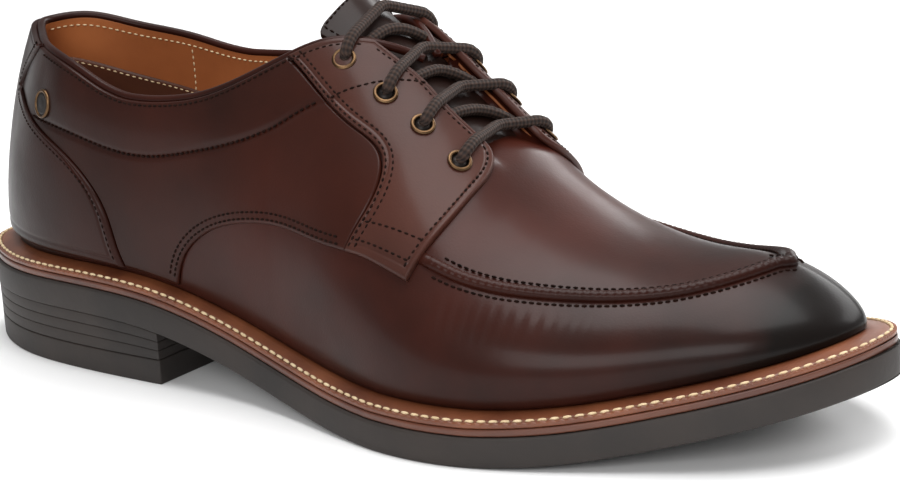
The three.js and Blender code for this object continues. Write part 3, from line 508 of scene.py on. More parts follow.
def relief(side, turn, rise):
    stitch = collar_stitch(turn)
    reach = np.clip((rise - stitch) / (collar_rise(turn) - stitch), 0, 1)
    in_collar = smooth(turn, .22, .27) * (1 - smooth(turn, .50, .53))
    puff = COLLAR_PUFF * np.sin(np.pi * reach)**.8 * in_collar
    groove = -.45 * np.exp(-((rise - stitch) * 60 / .8)**2) * in_collar
    return puff + groove


def gathers(turn, rise):
    """Small pleats where the vamp is gathered to the apron, fading downwards."""
    seam_turn, seam_rise = apron_line(np.linspace(0, 1, 80))
    seam_at = np.interp(turn, seam_turn, seam_rise)
    below = (seam_at - rise) * 62
    strength = smooth(below, 3.6, 5.5) * (1 - smooth(below, 6, 15))
    strength = strength * smooth(turn, .595, .62) * (1 - smooth(turn, .66, .73))
    step = -.35 * (1 - smooth(below, -.5, 1.2)) * smooth(turn, .60, .62)
    pleats = np.sin(turn * 780 + np.sin(turn * 90)) * (.8 + .2 * np.sin(turn * 210))
    return .14 * strength * pleats + step


def throat_drop(point):
    """How far the skin folds down under the lacing, to become the tongue."""
    across = 1 - smooth(np.abs(point[..., 1] - 3.7), THROAT_HALF - 4.5, THROAT_HALF)
    along = smooth(point[..., 0], 105, 125) * (1 - smooth(point[..., 0], THROAT_END - 14, THROAT_END))
    return TONGUE_DROP * across * along


# %% The outer skin
def around(u):
    side = np.where(u < .5, LATERAL, MEDIAL)
    return side, 1 - np.abs(1 - 2 * u)


def upper_skin(u, v):
    side, turn = around(u)
    rise = v * collar_rise(turn)
    flat_point = skin(side, turn, rise)
    height = gathers(turn, rise) - throat_drop(flat_point)
    return to_frame(raised(side, turn, rise, height))


def open_throat(mesh, end=166.0):
    start, end = (to_frame(np.array([x, 3.7, 0])) for x in (130.0, end))
    inside = [face for face in mesh.faces for centre in [face.calc_center_median()]
              if start[0] < centre.x < end[0] and centre.z > .055
              and abs(centre.y - start[1]) < (THROAT_HALF - 3) * MM]
    bmesh.ops.delete(mesh, geom=inside, context='FACES')


def joined_grid(columns, rows, place, **options):
    mesh = grid(columns, rows, place, **options)
    bmesh.ops.remove_doubles(mesh, verts=mesh.verts, dist=.02 * MM)
    return mesh


upper_mesh = joined_grid(880, 54, upper_skin)
open_throat(upper_mesh)
face_away(upper_mesh)
vamp = finish_piece(upper_mesh, "vamp_skin", vamp_leather, "vamp_leather", ["upper"])
solidify(vamp, 1.1)

# %% [markdown]
# ## Lining and insole
# A lined shoe shows tan leather inside, from the collar's edge down, and a sock of darker leather
# on the insole. The lining is the same grid again, a wall's thickness deeper, turned to face
# the foot. Lower down a second, darker lining covers the heel, and its top edge is sewn. A narrow
# rolled binding joins skin and lining along the collar.

# %% Lining, collar binding and sock
LINING_DEPTH = 2.0


def lining_skin(u, v):
    side, turn = around(u)
    return to_frame(raised(side, turn, (.02 + .98 * v) * collar_rise(turn), -LINING_DEPTH))


lining_mesh = joined_grid(300, 50, lining_skin)
open_throat(lining_mesh, 208.0)
face_away(lining_mesh, False)
lining = finish_piece(lining_mesh, "lining", lining_leather, "lining_leather")
solidify(lining, .6)


lower_lining = spline([0, .12, .35, 1], [.20, .23, .33, .4])


def lower_lining_skin(u, v):
    side, turn = around(u)
    top = collar_rise(turn) - lower_lining(turn)
    return to_frame(raised(side, turn, (.02 + .98 * v) * top, -LINING_DEPTH - .35))


lower_mesh = joined_grid(300, 40, lower_lining_skin)
open_throat(lower_mesh, 208.0)
face_away(lower_mesh, False)
solidify(finish_piece(lower_mesh, "heel_lining", sock_leather, "lining_leather"), .3)


def tube(path, radius, sides, normals):
    """A round strand along points in millimetres, closed at its ends."""
    tangent = unit(np.gradient(path, axis=0))
    across = unit(np.cross(tangent, normals))
    mesh = bmesh.new()
    rings = []
    for centre, side_way, up_way in zip(path, across, np.cross(across, tangent)):
        ring = bmesh.ops.create_circle(mesh, segments=sides, radius=1)["verts"]
        for vertex in ring:
            offset = (side_way * vertex.co.x + up_way * vertex.co.y) * radius
            vertex.co = to_frame(centre + offset)
        rings.append([mesh.edges.get((a, b)) for a, b in pairwise([*ring, ring[0]])])
    for first, second in pairwise(rings):
        bmesh.ops.bridge_loops(mesh, edges=first + second)
    for ring in (rings[0], rings[-1]):
        bmesh.ops.contextual_create(mesh, geom=ring)
    bmesh.ops.recalc_face_normals(mesh, faces=mesh.faces)
    return mesh


BINDING_TURNS = np.linspace(0, .545, 130)
binding_turn = np.concatenate([BINDING_TURNS[::-1], BINDING_TURNS[1:]])
binding_side = np.where(np.arange(len(binding_turn)) < len(BINDING_TURNS), LATERAL, MEDIAL)
binding_path = raised(binding_side, binding_turn, collar_rise(binding_turn) - .004, -.9)
binding_up = skin_normal(binding_side, binding_turn, collar_rise(binding_turn))
binding_mesh = tube(binding_path, 1.25, 12, binding_up)
finish_piece(binding_mesh, "collar_binding", counter_leather, "dark_leather")


def across_sole(u, v, inset, height):
    side = np.where(v < .5, LATERAL, MEDIAL)
    share = np.abs(2 * v - 1)
    edge = inset_point(side, u, inset(u))
    middle = sum(inset_point(np.full_like(u, one_side), u, inset(u)) for one_side in (LATERAL, MEDIAL)) / 2
    place = middle + (edge - middle) * share[:, None]
    return np.concatenate([place, (sole_bottom(place[:, 0]) + height(share))[:, None]], -1)


def sock_skin(u, v):
    return to_frame(across_sole(u, v, lambda turn: feather_inset(turn) + 2.6,
                                lambda share: FEATHER + 2.6 + 1.2 * share**4))


sock = finish_piece(grid(160, 40, sock_skin), "insole_sock", sock_leather, "lining_leather", ["insole"])
solidify(sock, 2.4)

# %% [markdown]
# ## Panels
# Quarters, facings and counter are cut pieces laid on the skin. Each fills the patch between four
# seams, and its edge is rounded over like skived leather: the height falls to nothing over the
# last millimetre. The counter is thickest, because it overlaps everything at the heel.

# %% A panel between four seams
PANEL_BASE = .12


def even_out(share):
    """Crowds grid lines towards both ends, where an edge rolls over."""
    return share - .8 * np.sin(2 * np.pi * share) / (2 * np.pi)


def blend(left, right, bottom, top, hold, over, down):
    """Fills a patch between four seams. The more hold, the sooner its side seams' bends die away."""
    zero, one = np.zeros(1), np.ones(1)
    parts = []
    for i in (0, 1):
        left_bend = left(down)[i] - top(zero)[i] * (1 - down) - bottom(zero)[i] * down
        right_bend = right(down)[i] - top(one)[i] * (1 - down) - bottom(one)[i] * down
        parts.append(top(over)[i] * (1 - down) + bottom(over)[i] * down
                     + left_bend * (1 - over)**hold + right_bend * over**hold)
    return parts


def rolled(distance, radius):
    return np.sqrt(np.maximum(1 - (1 - np.clip(distance / radius, 0, 1))**2, 0))


def panel_piece(name, side, edges, thickness, size, material, slot, node, counts=(150, 130), grooves=()):
    """Size is the panel's width and height in millimetres, for the roll of its four edges."""
    def place(u, v):
        over, down = even_out(u), even_out(1 - v)
        turn, rise = blend(*edges, over, down)
        nearest = np.minimum(np.minimum(over, 1 - over) * size[0], np.minimum(down, 1 - down) * size[1])
        height = PANEL_BASE + thickness * rolled(nearest, .9) + relief(side, turn, rise)
        for distance, depth in grooves:
            height = height - depth * np.exp(-((nearest - distance) / .35)**2)
        sides = np.where(over < 0, -side, side)
        return to_frame(raised(sides, turn, rise, height))

    mesh = grid(*counts, place)
    face_away(mesh)
    piece = finish_piece(mesh, name, material, slot, [node])
    solidify(piece, .7)
    return piece


def straight(start, end):
    return lambda share: tuple(a + (b - a) * share for a, b in zip(start, end))


def under_collar(start, end):
    line = straight(start, end)

    def read(share):
        turn, rise = line(share)
        chord = collar_rise(start[0]) + (collar_rise(end[0]) - collar_rise(start[0])) * share
        return turn, rise + collar_rise(turn) - chord
    return read


def shifted(seam, distance):
    return lambda share: beside(LATERAL, seam, np.asarray(share, float), distance)


def ends(seam, share):
    return tuple(float(np.ravel(part)[0]) for part in seam(np.array([float(share)])))


SEAM_GAP = .12
FOOT_SHARE = 1 / 6
quarter_left = shifted(counter_seam, SEAM_GAP)
quarter_right = shifted(rear_seam, -SEAM_GAP)
facing_left = shifted(rear_seam, SEAM_GAP)


def quarter_bottom(share):
    foot = straight(ends(quarter_left, 1), ends(wing_seam, 0))
    wing_share = np.clip((share - FOOT_SHARE) / (1 - FOOT_SHARE), 0, 1)
    wing = wing_seam(wing_share)
    last, target = ends(wing_seam, 1), ends(quarter_right, 1)
    fitted = [part + (aim - end) * wing_share for part, aim, end in zip(wing, target, last)]
    return [np.where(share < FOOT_SHARE, low, high) for low, high in zip(foot(share / FOOT_SHARE), fitted)]


quarter_edges = (quarter_left, quarter_right, quarter_bottom,
                 under_collar(ends(quarter_left, 0), ends(quarter_right, 0)), 2)
facing_edges = (facing_left, facing_front, straight(ends(facing_left, 1), ends(facing_front, 1)),
                under_collar(ends(facing_left, 0), ends(facing_front, 0)), 1)
for side, word in ((LATERAL, "lateral"), (MEDIAL, "medial")):
    panel_piece(f"quarter_panel_{word}", side, quarter_edges, 1.1, (120, 60), quarter_leather,
                "quarter_leather", f"quarter_{word}", (220, 110))
    panel_piece(f"facing_panel_{word}", side, facing_edges, 1.75, (30, 62), facing_leather,
                "facing_leather", f"facing_{word}", (110, 150), [(2.2, .22)])

# %% The heel counter wraps both sides
counter_edge = shifted(counter_seam, -SEAM_GAP)


def counter_skin(u, v):
    side = np.where(u < .5, LATERAL, MEDIAL)
    share = np.abs(2 * even_out(u) - 1)
    down = even_out(1 - v)
    turn, rise = counter_edge(down)
    nearest = np.minimum((1 - share) * turn * 260, np.minimum(down, 1 - down) * 80)
    height = PANEL_BASE + 1.9 * rolled(nearest, 1.1) - .22 * np.exp(-((nearest - 2.2) / .35)**2)
    return to_frame(raised(side, share * turn, rise, height))


counter_mesh = grid(200, 140, counter_skin)
face_away(counter_mesh)
counter_piece = finish_piece(counter_mesh, "heel_counter", counter_leather, "dark_leather", ["counter"])
solidify(counter_piece, .8)

# %% [markdown]
# ## The raised apron seam
# Where apron and vamp meet, the leather is pinched up over a cord and sewn through, which leaves
# a rounded ridge. We sweep a low arch along the seam, from one facing round the toe to the
# other, with a faint crimp in it from the thread.

# %% Sweep the ridge
SEAM_WIDTH = 3.5
SEAM_HEIGHT = 1.8
TUCKED = .075


def seam_skin(u, v):
    side = np.where(u < .5, LATERAL, MEDIAL)
    share = (1 + TUCKED) * (1 - np.abs(1 - 2 * u)) - TUCKED
    angle = np.pi * v
    turn, rise = beside(side, apron_line, np.maximum(share, 0), -np.cos(angle) * SEAM_WIDTH / 2)
    start, ahead = ends(apron_line, 0), ends(apron_line, .03)
    turn, rise = (part + np.minimum(share, 0) * (after - before) / .03
                  for part, before, after in zip((turn, rise), start, ahead))
    turn = np.where(share > 1 - 1e-6, 1.0, turn)
    crimp = 1 + .035 * np.sin(share * 2 * np.pi * 46)
    tuck = smooth(share, -TUCKED, 0)
    height = PANEL_BASE - .35 + (SEAM_HEIGHT + .35) * np.sin(angle)**.8 * crimp * (.4 + .6 * tuck)
    return to_frame(raised(side, turn, rise, height))


seam_mesh = grid(700, 14, seam_skin)
face_away(seam_mesh)
finish_piece(seam_mesh, "apron_ridge", counter_leather, "quarter_leather", ["apron_seam"])

# %% [markdown]
# ## Tongue
# The tongue closes the gap under the laces and stands up above them. Its sections arch across the
# instep below the skin, and the ridge they hang from goes on past the collar. Its end spreads a
# little towards both sides, and its corners are rounded by leaving out more of each last section.

# %% Curves across the instep
def ridge_point(turn, height):
    start = top_point(np.array(LATERAL), np.maximum(turn, RIDGE_START))
    slope = float(ridge_slope(turn))
    back_by = min(LENGTH * float(top_x(turn)) - start[0], 0)
    up = np.array([-slope, 0, 1]) / math.hypot(slope, 1)
    return start + np.array([back_by, 0, back_by * slope]) + up * height


def across_instep(turn, edge, height, count):
    """Points from the lateral to the medial side, at one height above the skin."""
    turn = np.array(float(turn))
    top = .96 * float(collar_rise(turn))
    half = [[raised(side, turn, rise, height) for rise in (edge, (edge + top) / 2, top)]
            for side in (LATERAL, MEDIAL)]
    points = np.array([*half[0], ridge_point(turn, height), *half[1][::-1]])
    reach = np.concatenate([[0], np.cumsum(np.linalg.norm(np.diff(points, axis=0), axis=1))])
    curves = [spline(reach / reach[-1], points[:, i]) for i in range(3)]
    return np.stack([read(np.linspace(0, 1, count)) for read in curves], -1)


# %% The tongue itself
TONGUE_DEPTH = 3.7
TONGUE_THICKNESS = 2.2
TONGUE_STICK_OUT = 12.0
TONGUE_WAY = np.array([-.76, 0, .65])
WING_BACK, WING_SPREAD = 4.0, 1.6
section_turn = spline([0, .6, 1], [.600, .520, .520])
section_edge = spline([0, .25, .45, .6, 1], [.80, .70, .72, .84, .86])
section_out = spline([0, .58, .64, .72, .82, 1], [0, 0, .08, .3, .6, 1])
section_trim = spline([0, .55, .62, .80, .90, .96, 1], [0, 0, .03, .03, .05, .10, .18])


def tongue_skin(u, v):
    share = np.unique(v.round(6))
    sheet = []
    for s in share:
        line = across_instep(section_turn(s), float(section_edge(s)), -TONGUE_DEPTH, 161)
        trim = max(float(section_trim(s)), 0)
        picked = trim + (1 - 2 * trim) * np.linspace(0, 1, 161)
        line = np.stack([np.interp(picked, np.linspace(0, 1, 161), line[:, i]) for i in range(3)], -1)
        out = max(float(section_out(s)), 0)
        aside = (line[:, 1] - BALL_WIDTH * float(ridge_y(.56))) / THROAT_HALF
        wing = np.stack([-WING_BACK * aside**2, WING_SPREAD * aside, 0 * aside], -1)
        sheet.append(line + out * (TONGUE_WAY * TONGUE_STICK_OUT + wing))
    sheet = np.array(sheet)
    row, column = np.searchsorted(share, v.round(6)), u * 160
    low = np.clip(column.astype(int), 0, 159)
    part = (column - low)[:, None]
    return to_frame(sheet[row, low] * (1 - part) + sheet[row, low + 1] * part)


tongue_mesh = grid(80, 90, tongue_skin)
face_away(tongue_mesh)
tongue = finish_piece(tongue_mesh, "tongue_leaf", tongue_leather, "dark_leather", ["tongue"])
solidify(tongue, TONGUE_THICKNESS)
rim = tongue.modifiers.new("rim", 'BEVEL')
rim.width, rim.segments, rim.limit_method, rim.angle_limit = .8 * MM, 3, 'ANGLE', math.radians(50)

# %% [markdown]
# ## Stitches
# A lockstitch shows as short threads lying end to end, each sunk a little at both holes. One
# stitch is a tiny faceted bead, stretched along its seam. Hundreds share one mesh per row, so a
# bead keeps to a few dozen faces.

# %% Sew rows of stitches
def sew(name, rows, material, slot, length=1.55, radius=.3, gap=.35):
    """Each row is (points, normals) in millimetres, evenly resampled to stitch lengths."""
    bead = bmesh.new()
    bmesh.ops.create_uvsphere(bead, u_segments=6, v_segments=4, radius=1)
    corners = np.array([vertex.co for vertex in bead.verts])
    faces = [[vertex.index for vertex in face.verts] for face in bead.faces]
    bead.free()
    beads = []
    for points, normals in rows:
        reach = np.concatenate([[0], np.cumsum(np.linalg.norm(np.diff(points, axis=0), axis=1))])
        count = max(int(reach[-1] / (length + gap)), 1)
        at = (np.arange(count) + .5) * reach[-1] / count

        def read(table, where):
            return np.stack([np.interp(where, reach, table[:, i]) for i in range(3)], -1)

        up = unit(read(normals, at))
        along = unit(read(points, at + .3) - read(points, at - .3))
        across = unit(np.cross(up, along))
        axes = np.stack([along * length / 2, across * radius, up * radius], 1)
        beads.append(read(points, at)[:, None, :] + np.einsum('vk,nkc->nvc', corners, axes))
    beads = np.concatenate(beads)
    data = bpy.data.meshes.new(name)
    step = len(corners)
    data.from_pydata(to_frame(beads).reshape(-1, 3).tolist(), [],
                     [[i * step + corner for corner in face] for i in range(len(beads)) for face in faces])
    mesh = bmesh.new()
    mesh.from_mesh(data)
    bpy.data.meshes.remove(data)
    return finish_piece(mesh, name, material, slot)


def seam_row(side, seam, distance, height, start=0.0, end=1.0, count=160):
    share = np.linspace(start, end, count)
    turn, rise = beside(side, seam, share, distance)
    lift = height + relief(side, turn, rise)
    return raised(side, turn, rise, lift), skin_normal(side, turn, rise)


def surface_row(side, turn, rise, height):
    lift = height + relief(side, turn, rise)
    return raised(side, turn, rise, lift), skin_normal(side, turn, rise)


quarter_top, facing_top_height, counter_top = PANEL_BASE + 1.12, PANEL_BASE + 1.62, PANEL_BASE + 1.8
collar_turns = np.linspace(.21, .503, 200)
facing_shares = np.linspace(0, 1, 60)
stitch_rows = []
for side in (LATERAL, MEDIAL):
    stitch_rows += [
        seam_row(side, rear_seam, 1.15, facing_top_height, .02, .98),
        seam_row(side, rear_seam, 3.1, facing_top_height, .03, .97),
        seam_row(side, facing_front, -2.2, facing_top_height, .03, .97),
        seam_row(side, wing_seam, 1.3, quarter_top, .03, .97),
        seam_row(side, wing_seam, 3.1, quarter_top, .03, .96),
        seam_row(side, counter_seam, -2.2, counter_top, .02, .97),
        surface_row(side, collar_turns, collar_stitch(collar_turns), quarter_top + .3),
        surface_row(side, collar_turns, collar_rise(collar_turns) - .035, quarter_top),
    ]
    first, last = ends(facing_edges[0], 0), ends(facing_front, 0)
    turn, rise = under_collar(first, last)(facing_shares)
    stitch_rows.append(surface_row(side, turn[4:-4], rise[4:-4] - .032, facing_top_height))
    start, end = ends(facing_edges[0], .28), ends(facing_front, .22)
    turn, rise = straight(start, end)(facing_shares)
    stitch_rows.append(surface_row(side, turn[2:-2], rise[2:-2], facing_top_height + .1))
    stitch_rows.append(seam_row(side, apron_line, 3.0, .12, 0, .995, 260))
    stitch_rows.append(seam_row(side, apron_line, -3.2, .08, 0, .995, 260))
    for share in (.88, .95):
        turn, rise = straight(ends(facing_edges[0], share), ends(facing_front, share))(facing_shares)
        stitch_rows.append(surface_row(side, turn[5:-5], rise[5:-5], facing_top_height + .05))
sew("upper_stitches", stitch_rows, brown_thread, "dark_leather", radius=.36)

# %% Stitches of the tongue
FROM_SIDE, FROM_END = .07, .955
tongue_walk = np.linspace(.66, FROM_END, 60)
side_cut = np.full(60, FROM_SIDE)
tongue_rows = []
for u, v in ((side_cut, tongue_walk), (np.linspace(FROM_SIDE, 1 - FROM_SIDE, 60), np.full(60, FROM_END)),
             (1 - side_cut, tongue_walk[::-1])):
    line = tongue_skin(u, v) / MM - SHIFT
    beyond = tongue_skin(u, v - .02) / MM - SHIFT
    across = tongue_skin(np.clip(u + .02, 0, 1), v) / MM - SHIFT
    normals = unit(np.cross(across - line, line - beyond))
    normals *= np.where(normals[:, [0]] < 0, -1, 1)
    tongue_rows.append((line + .1 * normals, normals))
sew("tongue_stitches", tongue_rows, brown_thread, "dark_leather", 1.5, .3)

# %% Stitches of the lining
LINING_SEAM = .285
lining_rows = []
for side in (LATERAL, MEDIAL):
    turns = np.linspace(.01, .47, 160)
    for rise in (collar_rise(turns) - .05, collar_rise(turns) - lower_lining(turns) - .02):
        lining_rows.append((raised(side, turns, rise, -LINING_DEPTH - .4), -skin_normal(side, turns, rise)))
    turns = np.full(60, LINING_SEAM)
    climb = np.linspace(.45, .93, 60) * collar_rise(turns)
    lining_rows.append((raised(side, turns, climb, -LINING_DEPTH - .05), -skin_normal(side, turns, climb)))
sew("lining_stitches", lining_rows, cream_thread, "lining_leather", 1.5, .26, .5)

# %% [markdown]
# ## Eyelets, stud and laces
# An eyelet is a short tube of brass rolled over at its rim: we draw its profile once and spin it.
# The lace is a round braid. It comes up through one eyelet, lies tight over both facings, and
# goes down through the other, and between the rows it crosses low over the tongue. To find how a
# tight lace lies, we keep only those points that a stretched string would touch.

# %% Spin the eyelets and the stud
EYELETS = [(.513, .853), (.540, .772), (.564, .740), (.587, .730)]
FACING_TOP = PANEL_BASE + 1.75


def stand_on(side, place, height):
    side, turn, rise = (np.array([float(part)]) for part in (side, *place))
    up = Vector(skin_normal(side, turn, rise)[0])
    centre = Vector(to_frame(raised(side, turn, rise, height))[0])
    return Matrix.Translation(centre) @ up.to_track_quat('Z', 'Y').to_matrix().to_4x4()


def spun(profile, place, segments=40):
    mesh = bmesh.new()
    points = [mesh.verts.new((radius * MM, 0, height * MM)) for radius, height in profile]
    edges = [mesh.edges.new(pair) for pair in pairwise(points)]
    bmesh.ops.spin(mesh, geom=points + edges, cent=(0, 0, 0), axis=(0, 0, 1), angle=2 * math.pi,
                   steps=segments, use_merge=True)
    bmesh.ops.remove_doubles(mesh, verts=mesh.verts, dist=1e-6)
    bmesh.ops.recalc_face_normals(mesh, faces=mesh.faces)
    bmesh.ops.transform(mesh, matrix=place, verts=mesh.verts)
    return mesh


RIM_ANGLES = np.linspace(-.5 * math.pi, 1.5 * math.pi, 13)
eyelet_profile = [(2.82 + .6 * math.cos(a), .42 + .42 * math.sin(a)) for a in RIM_ANGLES[:-1]]
eyelet_profile += [(2.25, .2), (2.2, -1.6), (2.35, -1.6), (2.6, 0), eyelet_profile[0]]
# A dark disc closes each eyelet's opening round the lace: painted shade standing in for the hole.
hole_shade_profile = [(0, .34), (2.3, .34), (2.3, -.2), (0, -.2)]
for side, word in ((LATERAL, "lateral"), (MEDIAL, "medial")):
    for number, place in enumerate(EYELETS, 1):
        where = stand_on(side, place, FACING_TOP - .05)
        finish_piece(spun(eyelet_profile, where), f"eyelet_ring_{word}_{number}", antique_brass,
                     "eyelet_brass", [f"eyelet_{word}_{number}"])
        # Painted shade: a dark disc in the eyelet's opening.
        finish_piece(spun(hole_shade_profile, where), f"eyelet_hole_shade_{word}_{number}", blackened_brass_and_hole_shade,
                     "dark_leather")

STUD_RIM = [(4.35, 0), (4.4, .45), (4.2, .85), (3.85, 1.0), (3.5, .9), (3.3, .55), (3.25, 0)]
STUD_FACE = [(3.3, .1), (3.3, .5), (3.1, .72), (2.4, .62), (1.2, .72), (0, .78), (0, .1)]
stud_place = stand_on(LATERAL, (.235, .735), quarter_top)
finish_piece(spun(STUD_FACE, stud_place), "stud_face", blackened_brass_and_hole_shade, "eyelet_brass")
finish_piece(spun([*STUD_RIM, STUD_RIM[0]], stud_place), "stud_rim", antique_brass, "eyelet_brass",
             ["heel_stud"])

# %% The braid
lace_finish = Finish("lace_braid", .78, specular=.3)
lace_uv = lace_finish.node('ShaderNodeUVMap', uv_map="UVMap").outputs["UV"]
uv_parts = lace_finish.node('ShaderNodeSeparateXYZ')
lace_finish.link(lace_uv, uv_parts.inputs["Vector"])
strands = []
for way in ('ADD', 'SUBTRACT'):
    twisted = lace_finish.math(way, lace_finish.math('MULTIPLY', uv_parts.outputs["X"], 1),
                               lace_finish.math('MULTIPLY', uv_parts.outputs["Y"], 1))
    strands.append(lace_finish.math('SINE', lace_finish.math('MULTIPLY', twisted, 2 * math.pi), 0))
braid = lace_finish.math('MULTIPLY', strands[0], strands[1])
braid_height_and_shade = lace_finish.math('MULTIPLY_ADD', braid, .5)
braid_height_and_shade.node.inputs[2].default_value = .5
# The braid's colour follows its height: painted shade, darker in the grooves between the strands and lighter
# on the crests.
lace_finish.colour(lace_finish.ramp(braid_height_and_shade, (.1, linear(24, 15, 12)), (.9, linear(60, 43, 35))))
lace_finish.bump(braid_height_and_shade, .35, .8)
lace_fabric = lace_finish.material
LACE_RADIUS = 1.65
BRAID_STRANDS, BRAID_PITCH = 8, 2.6


def lace(name, path, node):
    path = np.asarray(path)
    reach = np.concatenate([[0], np.cumsum(np.linalg.norm(np.diff(path, axis=0), axis=1))])
    reads = [spline(reach, path[:, i]) for i in range(3)]
    count = int(reach[-1] / .45)

    def strand(u, v):
        at = u * reach[-1]
        centre = np.stack([read(at) for read in reads], -1)
        tangent = unit(np.stack([read(at + .2) - read(at - .2) for read in reads], -1))
        across = unit(np.cross(tangent, np.array([.35, 0, 1.0])))
        normal = np.cross(across, tangent)
        turn = 2 * np.pi * v
        woven = np.cos(BRAID_STRANDS * turn / 2) * np.cos(2 * np.pi * at / BRAID_PITCH)
        size = (LACE_RADIUS - .06 + .06 * woven)[:, None]
        return to_frame(centre + size * (across * np.cos(turn)[:, None] + normal * np.sin(turn)[:, None]))

    mesh = joined_grid(count, 24, strand, spread=(reach[-1] / BRAID_PITCH, BRAID_STRANDS / 2))
    rims = [edge for edge in mesh.edges if edge.is_boundary]
    bmesh.ops.holes_fill(mesh, edges=rims)
    bmesh.ops.recalc_face_normals(mesh, faces=mesh.faces)
    return finish_piece(mesh, name, lace_fabric, "lace_fabric", [node])


def eyelet_point(side, place, height):
    side, turn, rise = (np.array([float(part)]) for part in (side, *place))
    return raised(side, turn, rise, height)[0]


BAR_LIFT = FACING_TOP + LACE_RADIUS + .05
BAR_OVER_RIDGE = -1.2
OVER_EYELET = [(0, -.8), (0, 1.0), (.015, BAR_LIFT - .2), (.07, BAR_LIFT)]


def taut(points):
    """Keeps the points that a tight lace would touch, seen along the shoe."""
    kept = []
    for point in points:
        while len(kept) > 1:
            before, last = kept[-2:]
            rise_now = (point[2] - before[2]) * (last[1] - before[1])
            if (last[2] - before[2]) * (point[1] - before[1]) > rise_now:
                break
            kept.pop()
        kept.append(point)
    return np.array(kept)


def eased(points, spacing=.7, width=7):
    """Evenly spaced points along a bent line, with its bends rounded."""
    reach = np.concatenate([[0], np.cumsum(np.linalg.norm(np.diff(points, axis=0), axis=1))])
    even = np.linspace(0, reach[-1], int(reach[-1] / spacing))
    line = np.stack([np.interp(even, reach, points[:, i]) for i in range(3)], -1)
    padded = np.pad(line, ((width // 2, width // 2), (0, 0)), 'edge')
    return np.stack([np.convolve(padded[:, i], np.ones(width) / width, 'valid') for i in range(3)], -1)


for number, (turn, rise) in enumerate(EYELETS, 1):
    halves = [[eyelet_point(side, (turn, rise + further), lift) for further, lift in OVER_EYELET]
              for side in (LATERAL, MEDIAL)]
    over = taut([*halves[0][2:], ridge_point(np.array(turn), BAR_OVER_RIDGE), *halves[1][:1:-1]])
    path = np.concatenate([halves[0][:2], over, halves[1][1::-1]])
    lace(f"lace_strand_{number}", eased(path), f"lace_bar_{number}")

for number, (first, second) in enumerate(pairwise(EYELETS), 1):
    low = LACE_RADIUS + .3 - TONGUE_DEPTH
    path = []
    for share in np.linspace(.22, .78, 7):
        turn, rise = (a + (b - a) * share for a, b in zip(first, second))
        path.append(across_instep(turn, rise, low, 101)[round(100 * share)])
    lace(f"lace_crossing_{number}", path, f"lace_under_{number}")

# %% [markdown]
# ## Welt and sole
# The welt is a strip of leather sewn to the upper all round, with a row of cream thread in a
# groove and an edge scored by a toothed wheel. Below it come a thin midsole, the rubber outsole
# and a heel built of layers. All of them follow one outline, so each is a grid wrapped round it.

# %% The welt's strip
WELT_TOP = OUTSOLE + 5.1
WELT_PROFILE = [
    (1.3, -3.0), (1.0, -2.6), (.95, -2.0), (1.1, -1.62), (1.45, -1.5), (1.75, -1.52), (1.9, -1.76),
    (2.5, -1.76), (2.8, -1.4), (4.4, -.95), (6.4, -.3), (8.6, .12), (10.5, .12)]
WHEEL_MARKS = 350
welt_in = spline(np.linspace(0, 1, len(WELT_PROFILE)), [inset for inset, _ in WELT_PROFILE])
welt_up = spline(np.linspace(0, 1, len(WELT_PROFILE)), [height for _, height in WELT_PROFILE])


def welt_skin(u, v):
    side, turn = around(u)
    inset = np.minimum(welt_in(v), feather_inset(turn) + 1.5)
    place = inset_point(side, turn, inset)
    mark = .2 * np.cos(2 * np.pi * WHEEL_MARKS * u) * smooth(v, .1, .2) * (1 - smooth(v, .36, .43))
    height = sole_bottom(place[:, 0]) + WELT_TOP + welt_up(v) + mark
    return to_frame(np.concatenate([place, height[:, None]], -1))


def turned_up(mesh):
    mesh.normal_update()
    if sum(face.normal.z * face.calc_area() for face in mesh.faces) < 0:
        bmesh.ops.reverse_faces(mesh, faces=mesh.faces)


welt_mesh = joined_grid(5 * WHEEL_MARKS, 26, welt_skin)
turned_up(welt_mesh)
welt = finish_piece(welt_mesh, "welt_strip", welt_leather, "welt_leather", ["welt"])
solidify(welt, .5)


def sole_row(inset, height, count=900):
    u = np.linspace(0, 1, count)
    side, turn = around(u)
    place = inset_point(side, turn, inset)
    points = np.concatenate([place, (sole_bottom(place[:, 0]) + height)[:, None]], -1)
    return points, np.tile([0.0, 0.0, 1.0], (count, 1))


sew("welt_stitches", [sole_row(2.2, WELT_TOP - 1.42)], cream_thread, "welt_leather", 2.9, .52, .3)


# %% Layers of the sole
def layer(name, inset, bottom, top, material, slot, replaces, end_turn=1.0, radius=.6, columns=260):
    """A slab between two heights over the sole's underside, with its edges rounded by a bevel."""
    def under(u, v):
        turn = u * end_turn
        place = across_sole(turn, v, lambda t: np.full_like(t, inset), lambda share: share * 0)
        place[:, 2] = bottom(place[:, 0])
        return to_frame(place)

    mesh = grid(columns, 24, under)
    if end_turn == 1:
        bmesh.ops.remove_doubles(mesh, verts=mesh.verts, dist=.02 * MM)
    turned_up(mesh)
    bottom_faces = list(mesh.faces)
    raised_part = bmesh.ops.extrude_face_region(mesh, geom=bottom_faces, use_keep_orig=True)
    for vertex in (item for item in raised_part["geom"] if isinstance(item, bmesh.types.BMVert)):
        x = vertex.co.x / MM - SHIFT[0]
        vertex.co.z = float(top(np.array(x))) * MM
    bmesh.ops.recalc_face_normals(mesh, faces=mesh.faces)
    rims = [edge for edge in mesh.edges if edge.is_manifold and edge.calc_face_angle(0) > math.radians(50)]
    bmesh.ops.bevel(mesh, geom=rims, offset=radius * MM, affect='EDGES', segments=3, profile=.5, material=-1)
    return finish_piece(mesh, name, material, slot, replaces)


def above_sole(height):
    return lambda x: sole_bottom(x) + height


